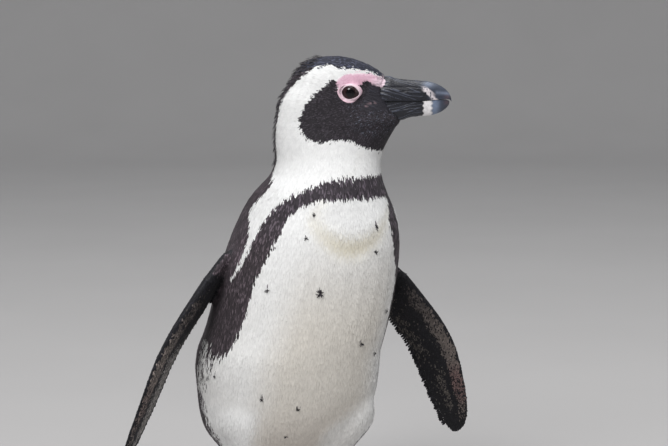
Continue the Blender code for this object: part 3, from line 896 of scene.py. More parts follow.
@dataclass
class Skin:
    """One closed surface that stands for every node of flesh and carries the markings."""

    stance: Stance
    markings: Markings
    paddles: dict[str, Paddle]
    voxel: float = 0.00135      # grain of the first surface
    grow: float = 0.0006        # pushes the nodes together so that their gaps close
    most_faces: int = 185_000
    grades: int = 12            # steps in which a smoothing fades out
    shoulder: float = 0.034     # reach of the shoulder's own smoothing
    thigh_levels: Row = (0.048, 0.066, 0.235, 0.170)
    mantle_levels: Row = (0.245, 0.285, 0.362, 0.338)
    crisp_level: float = 0.045  # below this the legs and feet stay crisp
    rounds: tuple[int, ...] = (26, 60, 105, 70)   # for body, shoulders, thighs and mantle
    root_share: float = 0.13    # share of a flipper's span that is smoothed with the body
    joint: Pair = (0.03, 0.4)   # where the shoulder's smoothing is centred on a flipper
    passes: int = 6             # rounds that even out the coat's depth between nodes
    opening: Pair = (0.0084, 0.0068)   # half length and height of the lids' gap
    socket: float = 0.0018      # room between the socket's floor and the eyeball's face
    swell: float = 0.0004       # height of the crop, then depth of the crease under it
    crease: float = 0.0007
    fold_depths: Pair = (0.0005, 0.0006)   # beside the left and right thigh
    depths: dict[str, float] = field(default_factory=lambda: {
        "trunk": 0.0007, "neck": 0.0006, "head": 0.0004, "tail": 0.0006,
        "flipper_left": 0.0004, "flipper_right": 0.0004, "leg_left": 0.0007,
        "leg_right": 0.0007, "foot_left": 0.0, "foot_right": 0.0})

    def build(self) -> tuple[Piece, Surface]:
        """Joins the nodes of flesh, closes their gaps and sinks them below the coat.

        Returns:
            The skin and its surface as arrays.
        """
        copies = [copy_of(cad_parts[name], "skin_" + name) for name in FLESH]
        finder = self.finder(copies)
        copies += [copy_of(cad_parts[name], "skin_" + name)
                   for name in ("eye_left", "eye_right")]
        for piece in copies:
            apply_modifier(piece, "DISPLACE", strength=self.grow, mid_level=0.0)
        select_only(*copies)
        bpy.ops.object.join()
        skin = copies[0]
        skin.name = skin.data.name = "skin"
        apply_modifier(skin, "REMESH", mode="VOXEL", voxel_size=self.voxel)
        apply_modifier(skin, "SMOOTH", factor=0.5, iterations=3)
        self.soften(skin, finder)
        count = sum(len(face.vertices) - 2 for face in skin.data.polygons)
        apply_modifier(skin, "DECIMATE", ratio=min(1.0, self.most_faces / count))
        edit_all(skin, bpy.ops.mesh.quads_convert_to_tris,
                 partial(bpy.ops.mesh.normals_make_consistent, inside=False))
        bpy.ops.object.shade_smooth()
        return skin, self.sink(skin, finder)

    def soften(self, skin: Piece, finder: NodeFinder) -> None:
        """Smooths the body where limbs join it, and leaves head, feet and flippers crisp.

        Args:
            skin: the joined skin.
            finder: finds the nearest node of flesh.
        """
        places = vertex_places(skin.data)
        nodes = finder.at(places)
        soft = on_nodes(nodes, "trunk", "neck", "leg_left", "leg_right")
        soft &= places[:, 2] > self.crisp_level
        level, shoulder = places[:, 2], np.zeros(len(places))
        for name, paddle in self.paddles.items():
            soft |= on_nodes(nodes, name) & (paddle.place(places)[0] < self.root_share)
            apart = places - np.array(paddle.edge_point(*self.joint))
            shoulder = np.maximum(shoulder, np.linalg.norm(apart, axis=1) < self.shoulder)
        thigh, mantle = (ease(level, *bounds[:2]) * ease(level, *bounds[2:])
                         for bounds in (self.thigh_levels, self.mantle_levels))
        for weight, rounds in zip((np.ones(len(places)), shoulder, thigh, mantle), self.rounds):
            group = skin.vertex_groups.new(name="soft")
            grade = np.round(weight * soft * self.grades).astype(int)
            for step in range(1, self.grades + 1):
                group.add(np.flatnonzero(grade == step).tolist(), step / self.grades, "REPLACE")
            apply_modifier(skin, "SMOOTH", factor=0.5, iterations=rounds,
                           vertex_group=group.name)
            skin.vertex_groups.clear()

    def finder(self, copies: list[Piece]) -> NodeFinder:
        """Builds one search tree over all nodes of flesh.

        Args:
            copies: merged copies of the nodes, in the order of FLESH.

        Returns:
            The tree, with the node number of each of its faces.
        """
        corners, faces, owner = [], [], []
        for number, piece in enumerate(copies):
            start = len(corners)
            corners += [vertex.co.copy() for vertex in piece.data.vertices]
            faces += [[start + i for i in face.vertices] for face in piece.data.polygons]
            owner += [number] * len(piece.data.polygons)
        return NodeFinder(BVHTree.FromPolygons(corners, faces), np.array(owner))

    def sink(self, skin: Piece, finder: NodeFinder) -> Surface:
        """Sinks the skin by the depth of the coat over each node, softly from one to the next.

        Args:
            skin: the joined skin.
            finder: finds the nearest node of flesh.

        Returns:
            The sunk surface as arrays.
        """
        mesh = skin.data
        places, normals = vertex_places(mesh), vertex_normals(mesh)
        nodes = finder.at(places)
        depth = np.array([self.depths[name] for name in FLESH])[nodes]
        first, second = edge_ends(mesh).T
        count = len(places)
        share = np.bincount(first, minlength=count) + np.bincount(second, minlength=count)
        for _ in range(self.passes):
            total = np.bincount(first, depth[second], count)
            total += np.bincount(second, depth[first], count)
            depth = 0.5 * depth + 0.5 * total / np.maximum(share, 1)
        ahead = self.stance.to_body(places)[:, 1] - self.stance.eye_forward
        depth = depth * ease(ahead, 0.030, 0.010) - self.crop(self.stance.to_body(places))
        places = self.hollow(places - normals * (depth + self.grow)[:, None])
        places[:, 2] = np.maximum(places[:, 2], 0.0)
        write_places(mesh, places)
        faces = np.empty(len(mesh.polygons) * 3, np.int32)
        mesh.polygons.foreach_get("vertices", faces)
        return Surface(places, vertex_normals(mesh), faces.reshape(-1, 3), nodes,
                       self.stance.to_body(places))

    def hollow(self, places: Array) -> Array:
        """Sinks the skin behind the eyeballs, where the lids open.

        Args:
            places: the skin's corners.

        Returns:
            The corners with both sockets sunk.
        """
        ahead, left = (np.array(way) for way in self.stance.head_way())
        for hand, outward in (("left", left), ("right", -left)):
            away = places - np.array(box_centre("eye_" + hand))
            out, along, rise = away @ outward, away @ ahead, away[:, 2]
            inside_lids = (along / self.opening[0]) ** 2 + (rise / self.opening[1]) ** 2
            ball = np.sqrt(np.maximum(EYE_RADIUS ** 2 - along ** 2 - rise ** 2, 0.0))
            excess = np.maximum(out - ball + self.socket, 0.0) * (out > 0.0)
            excess = excess * ease(inside_lids, 1.30, 1.00)
            places = places - outward * excess[:, None]
        return places

    def crop(self, body: Array) -> Array:
        """Finds the relief of the crop, its crease and the folds beside the thighs.

        Args:
            body: places on the untwisted bird.

        Returns:
            How far each place stands out.
        """
        turn = self.markings.angle(body) - self.markings.crease_turn
        level = body[:, 2] - 0.2705 - 0.010 * turn ** 2 / 400.0
        swell = self.swell * np.exp(-((level - 0.0175) / 0.0120) ** 2 - (turn / 36.0) ** 2)
        fold = self.crease * np.exp(-(level / 0.0085) ** 2 - (turn / 28.0) ** 2)
        raised = (swell - fold) * (np.abs(turn) < 90.0)
        for line, depth in zip((self.markings.left_fold, self.markings.right_fold),
                               self.fold_depths):
            corners = np.array(line)
            near, shares = np.full(len(body), np.inf), np.zeros(len(body))
            for number, (start, end) in enumerate(zip(corners[:-1], corners[1:])):
                run = end - start
                away = body[:, (0, 2)] - start
                share = np.clip(away @ run / (run @ run), 0.0, 1.0)
                apart = np.linalg.norm(away - share[:, None] * run, axis=1)
                shares = np.where(apart < near, (number + share) / (len(corners) - 1), shares)
                near = np.minimum(near, apart)
            ends = np.sin(np.pi * np.clip(shares * 0.90 + 0.05, 0.0, 1.0)) ** 0.6
            reach = 0.0075 - 0.0035 * self.markings.thighs(body)
            raised = raised - depth * ends * np.exp(-(near / reach) ** 2) * (body[:, 1] > 0.0)
        return raised

    def dress(self, skin: Piece, surface: Surface) -> None:
        """Paints the markings on the skin and gives it its finish.

        Args:
            skin: the skin.
            surface: the skin as arrays.
        """
        colours = coat_colours(surface.places, surface.normals, surface.nodes, self.markings,
                               self.paddles, None)
        feet = on_nodes(surface.nodes, "foot_left", "foot_right")
        colours[feet] = self.markings.tints.foot
        paint_vertices(skin.data, "Tint", colours)
        scaly = ease(surface.places[:, 2], 0.034, 0.024) * feet
        pink = self.markings.is_pink(surface.body).astype(float)
        paint_vertices(skin.data, "Kind",
                       np.column_stack((scaly, pink, self.markings.bareness(surface.body))))
        ahead, above = self.markings.head_plane(surface.body)
        paint_vertices(skin.data, "HeadPlace", np.column_stack(
            (ahead, above - 0.35 * np.maximum(0.036 - ahead, 0.0), surface.body[:, 0])))
        skin.data.materials.append(SkinFinish().build())
        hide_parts(*FLESH)
        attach(skin, "root")
        LOG.info("skin: %d triangles", len(surface.faces))


def coat_colours(places: Array, normals: Array, nodes: Array, markings: Markings,
                 paddles: dict[str, Paddle], rng: np.random.Generator | None) -> Array:
    """Colours of the coat anywhere on the bird.

    Args:
        places: places in the world.
        normals: which way the surface faces there.
        nodes: number of the node of flesh there.
        markings: the bird's markings.
        paddles: the flippers' directions by node name.
        rng: source of small breaks in the markings, or None for none.

    Returns:
        One linear colour for each place.
    """
    colours = markings.body_colours(markings.stance.to_body(places), rng)
    for name, paddle in paddles.items():
        here = on_nodes(nodes, name)
        inner = normals[here] @ np.array(paddle.outward) < 0.0
        shade = paddle.colours(places[here], inner, markings.tints, rng)
        root = ease(paddle.place(places[here])[0], 0.16, 0.06)[:, None]
        white_in = (root > 0.5) & inner[:, None]
        colours[here] = np.where(white_in, colours[here], shade)
    colours[on_nodes(nodes, "tail")] = markings.tints.back
    return colours


# ------------------------------------------------------------------ plumage
@dataclass(frozen=True)
class Vane:
    """The size and set of one kind of feather tip."""

    length: float
    width: float
    spacing: float
    lift: float                # rise over its length, as a share of it
    curl: float                # how far the tip bends back down, as a share of the length
    wander: float = 7.0        # degrees by which its direction strays
    ridge: float = 0.10        # height of its middle rib over its edges, share of the width


class Kind(Enum):
    """The kinds of feather on the bird."""

    BODY = Vane(0.0058, 0.0013, 0.00116, 0.14, 0.085)
    LEG = Vane(0.0052, 0.0013, 0.00120, 0.16, 0.09)
    NECK = Vane(0.0044, 0.0010, 0.00092, 0.17, 0.09)
    CROWN = Vane(0.0034, 0.0009, 0.00082, 0.20, 0.10)
    FACE = Vane(0.0022, 0.0007, 0.00064, 0.22, 0.10)
    FLIPPER = Vane(0.0025, 0.0012, 0.00092, 0.16, 0.10, 5.0)
    TAIL = Vane(0.0100, 0.0028, 0.00200, 0.14, 0.06, 4.0)
    SPIKE = Vane(0.0064, 0.0013, 0.0024, 0.50, 0.12, 17.0)
    EDGE = Vane(0.0063, 0.0025, 0.0, 0.04, 0.0, 4.0)
    STAR = Vane(1.0, 0.26, 0.0, 0.22, 0.06, 4.0)            # sized by each fleck's radius
    QUILL = Vane(1.0, 0.105, 0.0, 0.02, 0.02, 1.2, 0.22)    # sized by each quill's length


# Share of the length, half width as a share of the width, at each row of a vane
VANE_ROWS = ((0.0, 0.28), (0.42, 0.50), (0.80, 0.36))
PATCH = 0.003                  # size of one feather's patch on the bake map


def ripple(places: Array, reach: float = 0.0011, grain: float = 0.0046) -> Array:
    """Small shifts that vary softly from place to place, for ragged edges.

    Args:
        places: places on the bird.
        reach: size of the shifts.
        grain: width of one swing.

    Returns:
        A shift for each place.
    """
    x, y, z = (places * (2.0 * math.pi / grain)).T
    first = np.sin(x + 1.7 * np.sin(0.61 * y) + 0.4 * z)
    second = np.sin(1.13 * y + 1.5 * np.sin(0.53 * z) + 2.0)
    third = np.sin(0.93 * z + 1.6 * np.sin(0.57 * x) + 4.0) + 0.6 * np.sin(2.3 * x + 1.9 * y)
    return np.column_stack((first, second, third)) * reach


@dataclass
class Roots:
    """Where feathers grow: place, surface normal, node number and lie of each."""

    places: Array
    normals: Array
    nodes: Array
    lie: Array

    def __len__(self) -> int:
        """The number of feathers."""
        return len(self.places)

    def keep(self, chosen: Array) -> "Roots":
        """The chosen feathers only."""
        return Roots(self.places[chosen], self.normals[chosen], self.nodes[chosen],
                     self.lie[chosen])


def scatter_tree(distance: float, density: float) -> bpy.types.NodeTree:
    """Geometry nodes that scatter evenly spaced points over a mesh and keep its normals.

    Args:
        distance: least distance between two points.
        density: most points tried on each square metre.

    Returns:
        The node tree.
    """
    tree = bpy.data.node_groups.new("scatter", "GeometryNodeTree")
    tree.interface.new_socket("Geometry", in_out="INPUT", socket_type="NodeSocketGeometry")
    tree.interface.new_socket("Geometry", in_out="OUTPUT", socket_type="NodeSocketGeometry")
    start = tree.nodes.new("NodeGroupInput")
    end = tree.nodes.new("NodeGroupOutput")
    scatter = tree.nodes.new("GeometryNodeDistributePointsOnFaces")
    scatter.distribute_method = "POISSON"
    scatter.inputs["Distance Min"].default_value = distance
    scatter.inputs["Density Max"].default_value = density
    scatter.inputs["Seed"].default_value = SEED
    store = tree.nodes.new("GeometryNodeStoreNamedAttribute")
    store.data_type = "FLOAT_VECTOR"
    store.domain = "POINT"
    store.inputs["Name"].default_value = "facing"
    turn = tree.nodes.new("GeometryNodePointsToVertices")
    link = tree.links.new
    link(start.outputs[0], scatter.inputs["Mesh"])
    link(scatter.outputs["Points"], store.inputs["Geometry"])
    link(scatter.outputs["Normal"], store.inputs["Value"])
    link(store.outputs["Geometry"], turn.inputs["Points"])
    link(turn.outputs[0], end.inputs[0])
    return tree


@dataclass
class Lie:
    """The way the feathers lie: from the bill back over the head, then down the body."""

    stance: Stance
    paddles: dict[str, Paddle]
    bill_ahead: float = 0.100
    bill_above: float = -0.010
    neck_heights: Pair = (0.398, 0.345)
    eye_reach: float = 0.0055
    eye_half: float = 0.0105
    eye_side: float = 0.024
    eye_ring: float = 0.030        # feathers turn aside from the eye within this distance
    eye_push: float = 1.3
    fall_share: float = 0.45       # how little height counts in the way back from the bill
    paddle_slant: float = 0.30     # how far a flipper's feathers slant to its rear edge

    def at(self, places: Array, normals: Array, nodes: Array) -> Array:
        """Finds the lie at each place, along the surface.

        Args:
            places: places on the skin.
            normals: which way the skin faces there.
            nodes: node number there.

        Returns:
            Unit rows along the surface.
        """
        source = np.array(self.stance.head_place(0.0, self.bill_ahead, self.bill_above))
        away = unit((places - source) * (1.0, 1.0, self.fall_share))
        down = np.tile((0.0, 0.0, -1.0), (len(places), 1))
        low = ease(places[:, 2], *self.neck_heights)[:, None]
        way = away * (1.0 - low) + down * low
        for side in (-1.0, 1.0):
            eye = np.array(self.stance.head_place(side * self.eye_side, 0.0, 0.0))
            gap = places - eye
            near = np.linalg.norm(gap, axis=1)
            push = np.exp(-np.maximum(near - self.eye_half, 0.0) / self.eye_reach)
            push = np.where(near < self.eye_ring, push, 0.0)[:, None]
            way = way + unit(gap) * push * self.eye_push
        for name, paddle in self.paddles.items():
            slant = self.paddle_slant * np.array(paddle.lead)
            way[on_nodes(nodes, name)] = np.array(paddle.span) - slant
        low_corner, high_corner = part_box("tail")
        fall = math.atan2(high_corner.z - low_corner.z, high_corner.y - low_corner.y)
        way[on_nodes(nodes, "tail")] = (0.0, math.cos(fall), -math.sin(fall))
        way = way - normals * np.sum(way * normals, axis=1, keepdims=True)
        return unit(way)


@dataclass
class Plumage:
    """The whole coat, made of thin overlapping vanes in pieces by part of the bird."""

    skin: Piece
    surface: Surface
    markings: Markings
    paddles: dict[str, Paddle]
    leg_level: float = 0.030   # heights and degrees at which one piece of coat meets the next
    waist_level: float = 0.215
    neck_level: float = 0.338
    head_level: float = 0.352
    front_half: float = 78.0
    tips: int = 66             # pointed tips along a flipper's rear edge
    quills: int = 15           # long feathers in the tail
    quill_shade: float = 1.3
    sizes: Pair = (0.82, 1.15)     # random factors on a vane's size, width and lift
    widths: Pair = (0.9, 1.1)
    lifts: Pair = (0.8, 1.2)
    tilt: float = 0.045            # spread of a vane's lean to one side
    colour_stray: float = 0.0005   # spread of where a vane reads its colour
    colour_reach: float = 0.80     # and how far along its length
    buried: float = 0.08           # share of a vane's length that lies behind its root
    clearance: float = 0.0003      # least height over the floor
    glint_share: float = 0.20      # share of the dark vanes that glint, and how strongly
    glints: Pair = (0.5, 2.4)
    dark_spread: float = 0.20      # spread of brightness among dark and among pale vanes
    pale_spread: float = 0.025
    nape_levels: Pair = (0.346, 0.442)
    nape_ahead: float = -0.024     # the spikes stand further back than this from the eye
    nape_overlap: float = 3.0      # degrees by which they cross the edge of the white

    def __post_init__(self) -> None:
        """Keeps what every piece of coat needs."""
        self.stance = self.markings.stance
        self.lie = Lie(self.stance, self.paddles)
        self.rng = np.random.default_rng(SEED)
        self.finish = FeatherFinish().build()

    def scatter(self, chosen: Array, spacing: float) -> Roots:
        """Scatters evenly spaced roots over the chosen faces of the skin.

        Args:
            chosen: True for each face of the skin that grows these feathers.
            spacing: least distance between two roots.

        Returns:
            The roots.
        """
        corners, inverse = np.unique(self.surface.faces[chosen], return_inverse=True)
        mesh = bpy.data.meshes.new("bed")
        mesh.from_pydata(self.surface.places[corners].tolist(), [],
                         inverse.reshape(-1, 3).tolist())
        owner = mesh.attributes.new("owner", "INT", "FACE")
        owner.data.foreach_set("value", self.surface.owners()[chosen])
        bed = link_object("bed", mesh)
        tree = scatter_tree(spacing, 4.0 / spacing ** 2)
        apply_modifier(bed, "NODES", node_group=tree)
        places = vertex_places(bed.data)
        normals = unit(rows_of_three(bed.data.attributes["facing"].data, "vector"))
        nodes = np.empty(len(places), np.int32)
        bed.data.attributes["owner"].data.foreach_get("value", nodes)
        bpy.data.objects.remove(bed)
        bpy.data.node_groups.remove(tree)
        return Roots(places, normals, nodes, self.lie.at(places, normals, nodes))

    def grow(self, name: str, roots: Roots, vane: Vane, bake: Array, slot: str,
             colours: Array | None = None, size: Array | None = None,
             columns: int = 2) -> Piece:
        """Makes one piece of coat, a vane at each root.

        Args:
            name: the piece's name.
            roots: where its feathers grow.
            vane: their size and set.
            bake: each root's place on the bake map, 0 to 1.
            slot: not used.
            colours: linear colour of each feather, or None for the markings.
            size: a factor for each feather's size, or None for a small random one.
            columns: points across a vane, 2, or 3 for one with a raised rib.

        Returns:
            The finished piece.
        """
        rng, count = self.rng, len(roots)
        if size is None:
            size = rng.uniform(*self.sizes, count)
        if colours is None:
            shifted = roots.places + ripple(roots.places)
            shifted = shifted + rng.normal(0.0, self.colour_stray, (count, 3))
            shifted = shifted + roots.lie * vane.length * self.colour_reach
            colours = coat_colours(shifted, roots.normals, roots.nodes, self.markings,
                                   self.paddles, rng)
        stray = np.radians(rng.normal(0.0, vane.wander, count))[:, None]
        across = np.cross(roots.normals, roots.lie)
        along = roots.lie * np.cos(stray) + across * np.sin(stray)
        across = np.cross(roots.normals, along)
        length = (vane.length * size)[:, None]
        width = (vane.width * size * rng.uniform(*self.widths, count))[:, None]
        lift = (vane.lift * rng.uniform(*self.lifts, count))[:, None]
        tilt = rng.normal(0.0, self.tilt, count)[:, None]
        rows, patch, fade = [], [], []
        sides = np.linspace(-1.0, 1.0, columns)
        for share, half in VANE_ROWS + ((1.0, 0.0),):
            rise = length * (lift * share - vane.curl * share ** 2)
            middle = roots.places + along * length * (share - self.buried)
            middle = middle + roots.normals * rise
            for side in (sides if half else (0.0,)):
                drop = vane.ridge * abs(side) - tilt * side
                rows.append(middle + across * width * half * side
                            - roots.normals * width * drop * half)
                patch.append((side * half * PATCH, (share - 0.5) * PATCH))
                fade.append(share)
        corners = np.stack(rows, axis=1)
        corners[:, :, 2] = np.maximum(corners[:, :, 2], self.clearance)
        quads = np.array([(r * columns + c, r * columns + c + 1, (r + 1) * columns + c + 1,
                           (r + 1) * columns + c)
                          for r in range(len(VANE_ROWS) - 1) for c in range(columns - 1)])
        last = (len(VANE_ROWS) - 1) * columns
        tips = np.array([(last + c, last + c + 1, last + columns) for c in range(columns - 1)])
        each = corners.shape[1]
        start = (np.arange(count) * each)[:, None, None]
        loops = np.concatenate((
            (start + quads[None]).reshape(count, -1), (start + tips[None]).reshape(count, -1)),
            axis=1).ravel()
        lengths = np.tile([4] * len(quads) + [3] * len(tips), count)
        mesh = bpy.data.meshes.new(name)
        mesh.vertices.add(count * each)
        mesh.vertices.foreach_set("co", corners.astype(np.float32).ravel())
        mesh.loops.add(len(loops))
        mesh.loops.foreach_set("vertex_index", loops.astype(np.int32))
        mesh.polygons.add(len(lengths))
        mesh.polygons.foreach_set("loop_start", np.concatenate(([0], np.cumsum(lengths)[:-1])))
        mesh.update(calc_edges=True)
        mesh.validate()
        shade = np.repeat(colours[:, None], each, axis=1)
        pale = ease(shade.mean(axis=2, keepdims=True), 0.05, 0.5)
        spread = self.dark_spread * (1.0 - pale) + self.pale_spread * pale
        vary = rng.normal(0.0, 1.0, (count, 1, 1)) * spread
        glint = rng.random((count, 1, 1)) < self.glint_share
        glint = glint * (1.0 - pale) * rng.uniform(*self.glints)
        shade = shade * (np.clip(1.0 + vary, 0.55, 1.7) + glint)
        # Each vane is darker at its root and lighter at its tip: painted shade where it lies under
        # the vanes above it, together with the dark feathers' own paler tips; pale vanes get less
        # of it.
        share = np.array(fade)[None, :, None]
        shade = shade * (0.86 + 0.20 * share + pale * (0.09 - 0.15 * share))
        paint_vertices(mesh, "Tint", shade.reshape(-1, 3))
        spot = (0.01 + 0.98 * bake)[:, None] + np.array(patch)[None]
        layer = mesh.uv_layers.new(name="OFBake")
        flat = np.clip(spot, 0.0, 1.0).reshape(-1, 2)[loops]
        layer.data.foreach_set("uv", flat.astype(np.float32).ravel())
        mesh.shade_smooth()
        mesh.materials.append(self.finish)
        piece = link_object(name, mesh)
        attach(piece, "root")
        LOG.info("%s: %d feathers", name, count)
        return piece

    def cylinder(self, roots: Roots, centre: float) -> Array:
        """Unrolls roots by angle round the body and height.

        Args:
            roots: the roots.
            centre: degrees round the body that lie in the map's middle.

        Returns:
            A row of two numbers from 0 to 1 for each root.
        """
        body = self.stance.to_body(roots.places)
        turn = (self.markings.angle(body) - centre + 180.0) % 360.0 - 180.0
        return self.fit(np.column_stack((turn, body[:, 2])))

    def globe(self, roots: Roots) -> Array:
        """Unrolls roots on the head by the angles round its middle.

        Args:
            roots: the roots.

        Returns:
            A row of two numbers from 0 to 1 for each root.
        """
        body = self.stance.to_body(roots.places) - np.array((0.0, 0.040, 0.392))
        level = np.arctan2(body[:, 2], np.hypot(body[:, 0], body[:, 1]))
        return self.fit(np.column_stack((np.arctan2(body[:, 0], body[:, 1]), level)))

    @staticmethod
    def fit(rows: Array) -> Array:
        """Stretches two columns of numbers to the range 0 to 1."""
        low, high = rows.min(0), rows.max(0)
        return (rows - low) / np.maximum(high - low, 1e-9)

    def cover_body(self) -> None:
        """Grows the coat of trunk, legs, neck and head."""
        middle = self.surface.places[self.surface.faces].mean(axis=1)
        body = self.stance.to_body(middle)
        turn, height = self.markings.angle(body), body[:, 2]
        ahead, above = self.markings.head_plane(body)
        owner = self.surface.owners()
        trunk = on_nodes(owner, "trunk", "neck") & (height < self.neck_level)
        front = np.abs(turn - self.markings.midline) < self.front_half
        high = height > self.waist_level
        upper = on_nodes(owner, "neck", "head") & (height >= self.neck_level)
        left_leg, right_leg = (on_nodes(owner, name) & (height > self.leg_level)
                               for name in ("leg_left", "leg_right"))
        side = np.abs(body[:, 0]) > 0.010
        bare = side & (inside(EYE_RING, ahead, above) | self.markings.is_pink(body))
        bare |= self.markings.bareness(body) > 0.55
        near_eye = np.hypot(ahead, above) < 0.020
        face = upper & (height > self.head_level) & (near_eye | (ahead > 0.004) & (above < 0.018))
        face |= upper & self.markings.is_face(body)
        face &= ~bare
        crown = upper & (height > self.head_level) & ~face & ~bare
        neck = upper & ~crown & ~face & ~bare
        areas = (
            ("coat_breast", Kind.BODY, trunk & front & high, 0.0, "plumage_white"),
            ("coat_belly", Kind.BODY, trunk & front & ~high, 0.0, "plumage_white"),
            ("coat_mantle", Kind.BODY, trunk & ~front & high, 180.0, "plumage_dark"),
            ("coat_rump", Kind.BODY, trunk & ~front & ~high, 180.0, "plumage_dark"),
            ("coat_leg_left", Kind.LEG, left_leg, 90.0, "plumage_white"),
            ("coat_leg_right", Kind.LEG, right_leg, -90.0, "plumage_white"),
            ("coat_neck", Kind.NECK, neck, 0.0, "plumage_white"),
            ("coat_crown", Kind.CROWN, crown, None, "plumage_dark"),
            ("coat_face", Kind.FACE, face, None, "plumage_dark"))
        for name, kind, chosen, centre, slot in areas:
            roots = self.scatter(chosen, kind.value.spacing)
            bake = self.globe(roots) if centre is None else self.cylinder(roots, centre)
            self.grow(name, roots, kind.value, bake, slot)

    def cover_flippers(self) -> None:
        """Grows the coat of both flippers, and the row of tips along each rear edge."""
        owner = self.surface.owners()
        for name, paddle in self.paddles.items():
            roots = self.scatter(on_nodes(owner, name), Kind.FLIPPER.value.spacing)
            along, across, _ = paddle.place(roots.places)
            inner = roots.normals @ np.array(paddle.outward) < 0.0
            for face, chosen in (("inner", inner), ("outer", ~inner)):
                bake = self.fit(np.column_stack((across[chosen], along[chosen])))
                self.grow(f"coat_{name}_{face}", roots.keep(chosen), Kind.FLIPPER.value, bake,
                          "flipper_coat")
            self.edge_row(name, paddle)

    def edge_row(self, name: str, paddle: Paddle) -> None:
        """Sets the row of pointed tips along a flipper's rear edge.

        Args:
            name: the flipper's node.
            paddle: the flipper's directions.
        """
        count = self.tips
        shares = 0.20 + 0.75 * np.linspace(0.0, 1.0, count) ** 0.92
        places = np.array([paddle.edge_point(share, 0.965) for share in shares])
        facing = repeat(paddle.outward, count)
        facing *= np.where(np.arange(count) % 2, 1.0, -1.0)[:, None]
        way = np.array((paddle.span * 0.62 - paddle.lead * 0.78).normalized())
        roots = Roots(places, facing, np.full(count, FLESH.index(name)),
                      np.tile(way, (count, 1)))
        bake = np.column_stack((np.arange(count) % 2 * 0.9 + 0.05, self.fit(shares[:, None])[:, 0]))
        dark = repeat(self.markings.tints.flipper, count)
        self.grow(f"coat_{name}_edge", roots, Kind.EDGE.value, bake, "flipper_coat", dark,
                  self.rng.uniform(0.80, 1.20, count))

    def cover_nape(self) -> None:
        """Sets the thin black spikes that break the edge between black nape and white neck."""
        middle = self.surface.places[self.surface.faces].mean(axis=1)
        body = self.stance.to_body(middle)
        edge = self.markings.edge(self.markings.back_edge, body[:, 2])
        near = np.abs(self.markings.angle(body)) > edge - self.nape_overlap
        near &= (body[:, 2] > self.nape_levels[0]) & (body[:, 2] < self.nape_levels[1])
        near &= self.markings.head_plane(body)[0] < self.nape_ahead
        near &= on_nodes(self.surface.owners(), "trunk", "neck", "head")
        roots = self.scatter(near, Kind.SPIKE.value.spacing)
        dark = repeat(self.markings.tints.face, len(roots))
        self.grow("coat_nape_spikes", roots, Kind.SPIKE.value, self.cylinder(roots, 180.0),
                  "plumage_dark", dark)

    def cover_spots(self) -> None:
        """Sets the small dark stars on the breast and belly, each a burst of short vanes."""
        tree = self.surface.tree()
        rng = np.random.default_rng(SEED + 1)
        places, normals, ways, sizes = [], [], [], []
        for degrees, level, radius in self.markings.spots:
            turn = math.radians(degrees)
            middle, half, width = (float(np.interp(level, self.markings.levels, column))
                                   for column in (self.markings.middles, self.markings.halves,
                                                  self.markings.widths))
            body = np.array([[math.sin(turn) * width, middle + math.cos(turn) * half, level]])
            world = Vector(self.stance.to_world(body)[0])
            place, normal, _, _ = tree.find_nearest(world)
            side = normal.cross(Vector((0.0, 0.0, 1.0))).normalized()
            up = side.cross(normal)
            for _ in range(int(7 + radius * 4200)):
                spin = rng.uniform(-math.pi, math.pi)
                way = side * math.cos(spin) + up * (math.sin(spin) - 0.25)
                stray = side * rng.normal(0.0, 0.25) + up * rng.normal(0.0, 0.25)
                places.append(place + normal * 0.0010 + stray * radius)
                normals.append(normal)
                ways.append(way.normalized())
                sizes.append(radius * rng.uniform(0.6, 1.45))
        count = len(places)
        roots = Roots(np.array(places), np.array(normals), np.zeros(count, int), np.array(ways))
        dark = repeat(self.markings.tints.face, count)
        self.grow("coat_spots", roots, Kind.STAR.value, self.cylinder(roots, 0.0),
                  "plumage_dark", dark, np.array(sizes))

    def cover_tail(self) -> None:
        """Grows the coat of the tail and its fan of long stiff feathers."""
        roots = self.scatter(on_nodes(self.surface.owners(), "tail"), Kind.TAIL.value.spacing)
        bake = self.fit(roots.places[:, :2])
        self.grow("coat_tail", roots, Kind.TAIL.value, bake, "plumage_dark")
        low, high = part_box("tail")
        count = self.quills
        spread = np.linspace(-1.0, 1.0, count)
        centre = (low.x + high.x) / 2.0
        places = np.column_stack((centre + spread * 0.011, np.full(count, low.y + 0.022),
                                  high.z - 0.022 - 0.008 * spread ** 2))
        tips = np.column_stack((centre + spread * 0.026,
                                high.y - 0.002 - 0.014 * np.abs(spread) ** 1.5,
                                low.z + 0.0050 + 0.0025 * (1.0 - np.abs(spread))))
        way = tips - places
        facing = np.cross(np.tile((1.0, 0.0, 0.0), (count, 1)), way)
        facing = unit(facing) + np.column_stack((spread * 0.35, np.zeros((count, 2))))
        facing = unit(facing - unit(way) * np.sum(facing * unit(way), axis=1, keepdims=True))
        quill = Roots(places, facing, np.full(count, FLESH.index("tail")), unit(way))
        length = np.linalg.norm(way, axis=1)
        dark = repeat(self.markings.tints.flipper, count) * self.quill_shade
        self.grow("tail_feathers", quill, Kind.QUILL.value,
                  np.column_stack((self.fit(spread[:, None])[:, 0], np.full(count, 0.5))),
                  "plumage_dark", dark, length, columns=3)


# ------------------------------------------------------------------ eyes
EYE_RING = ((-0.0117, 0.0014), (-0.0096, -0.0042), (-0.0057, -0.0076), (-0.0018, -0.0090),
            (0.0027, -0.0084), (0.0072, -0.0048), (0.0102, -0.0007), (0.0103, 0.0022),
            (0.0080, 0.0055), (0.0030, 0.0079), (-0.0029, 0.0080), (-0.0077, 0.0062))
EYE_OPENING = ((-0.0076, 0.0004), (-0.0057, 0.0040), (-0.0029, 0.0057), (0.0014, 0.0058),
               (0.0047, 0.0038), (0.0076, -0.0004), (0.0061, -0.0031), (0.0027, -0.0047),
               (-0.0018, -0.0055), (-0.0057, -0.0037))


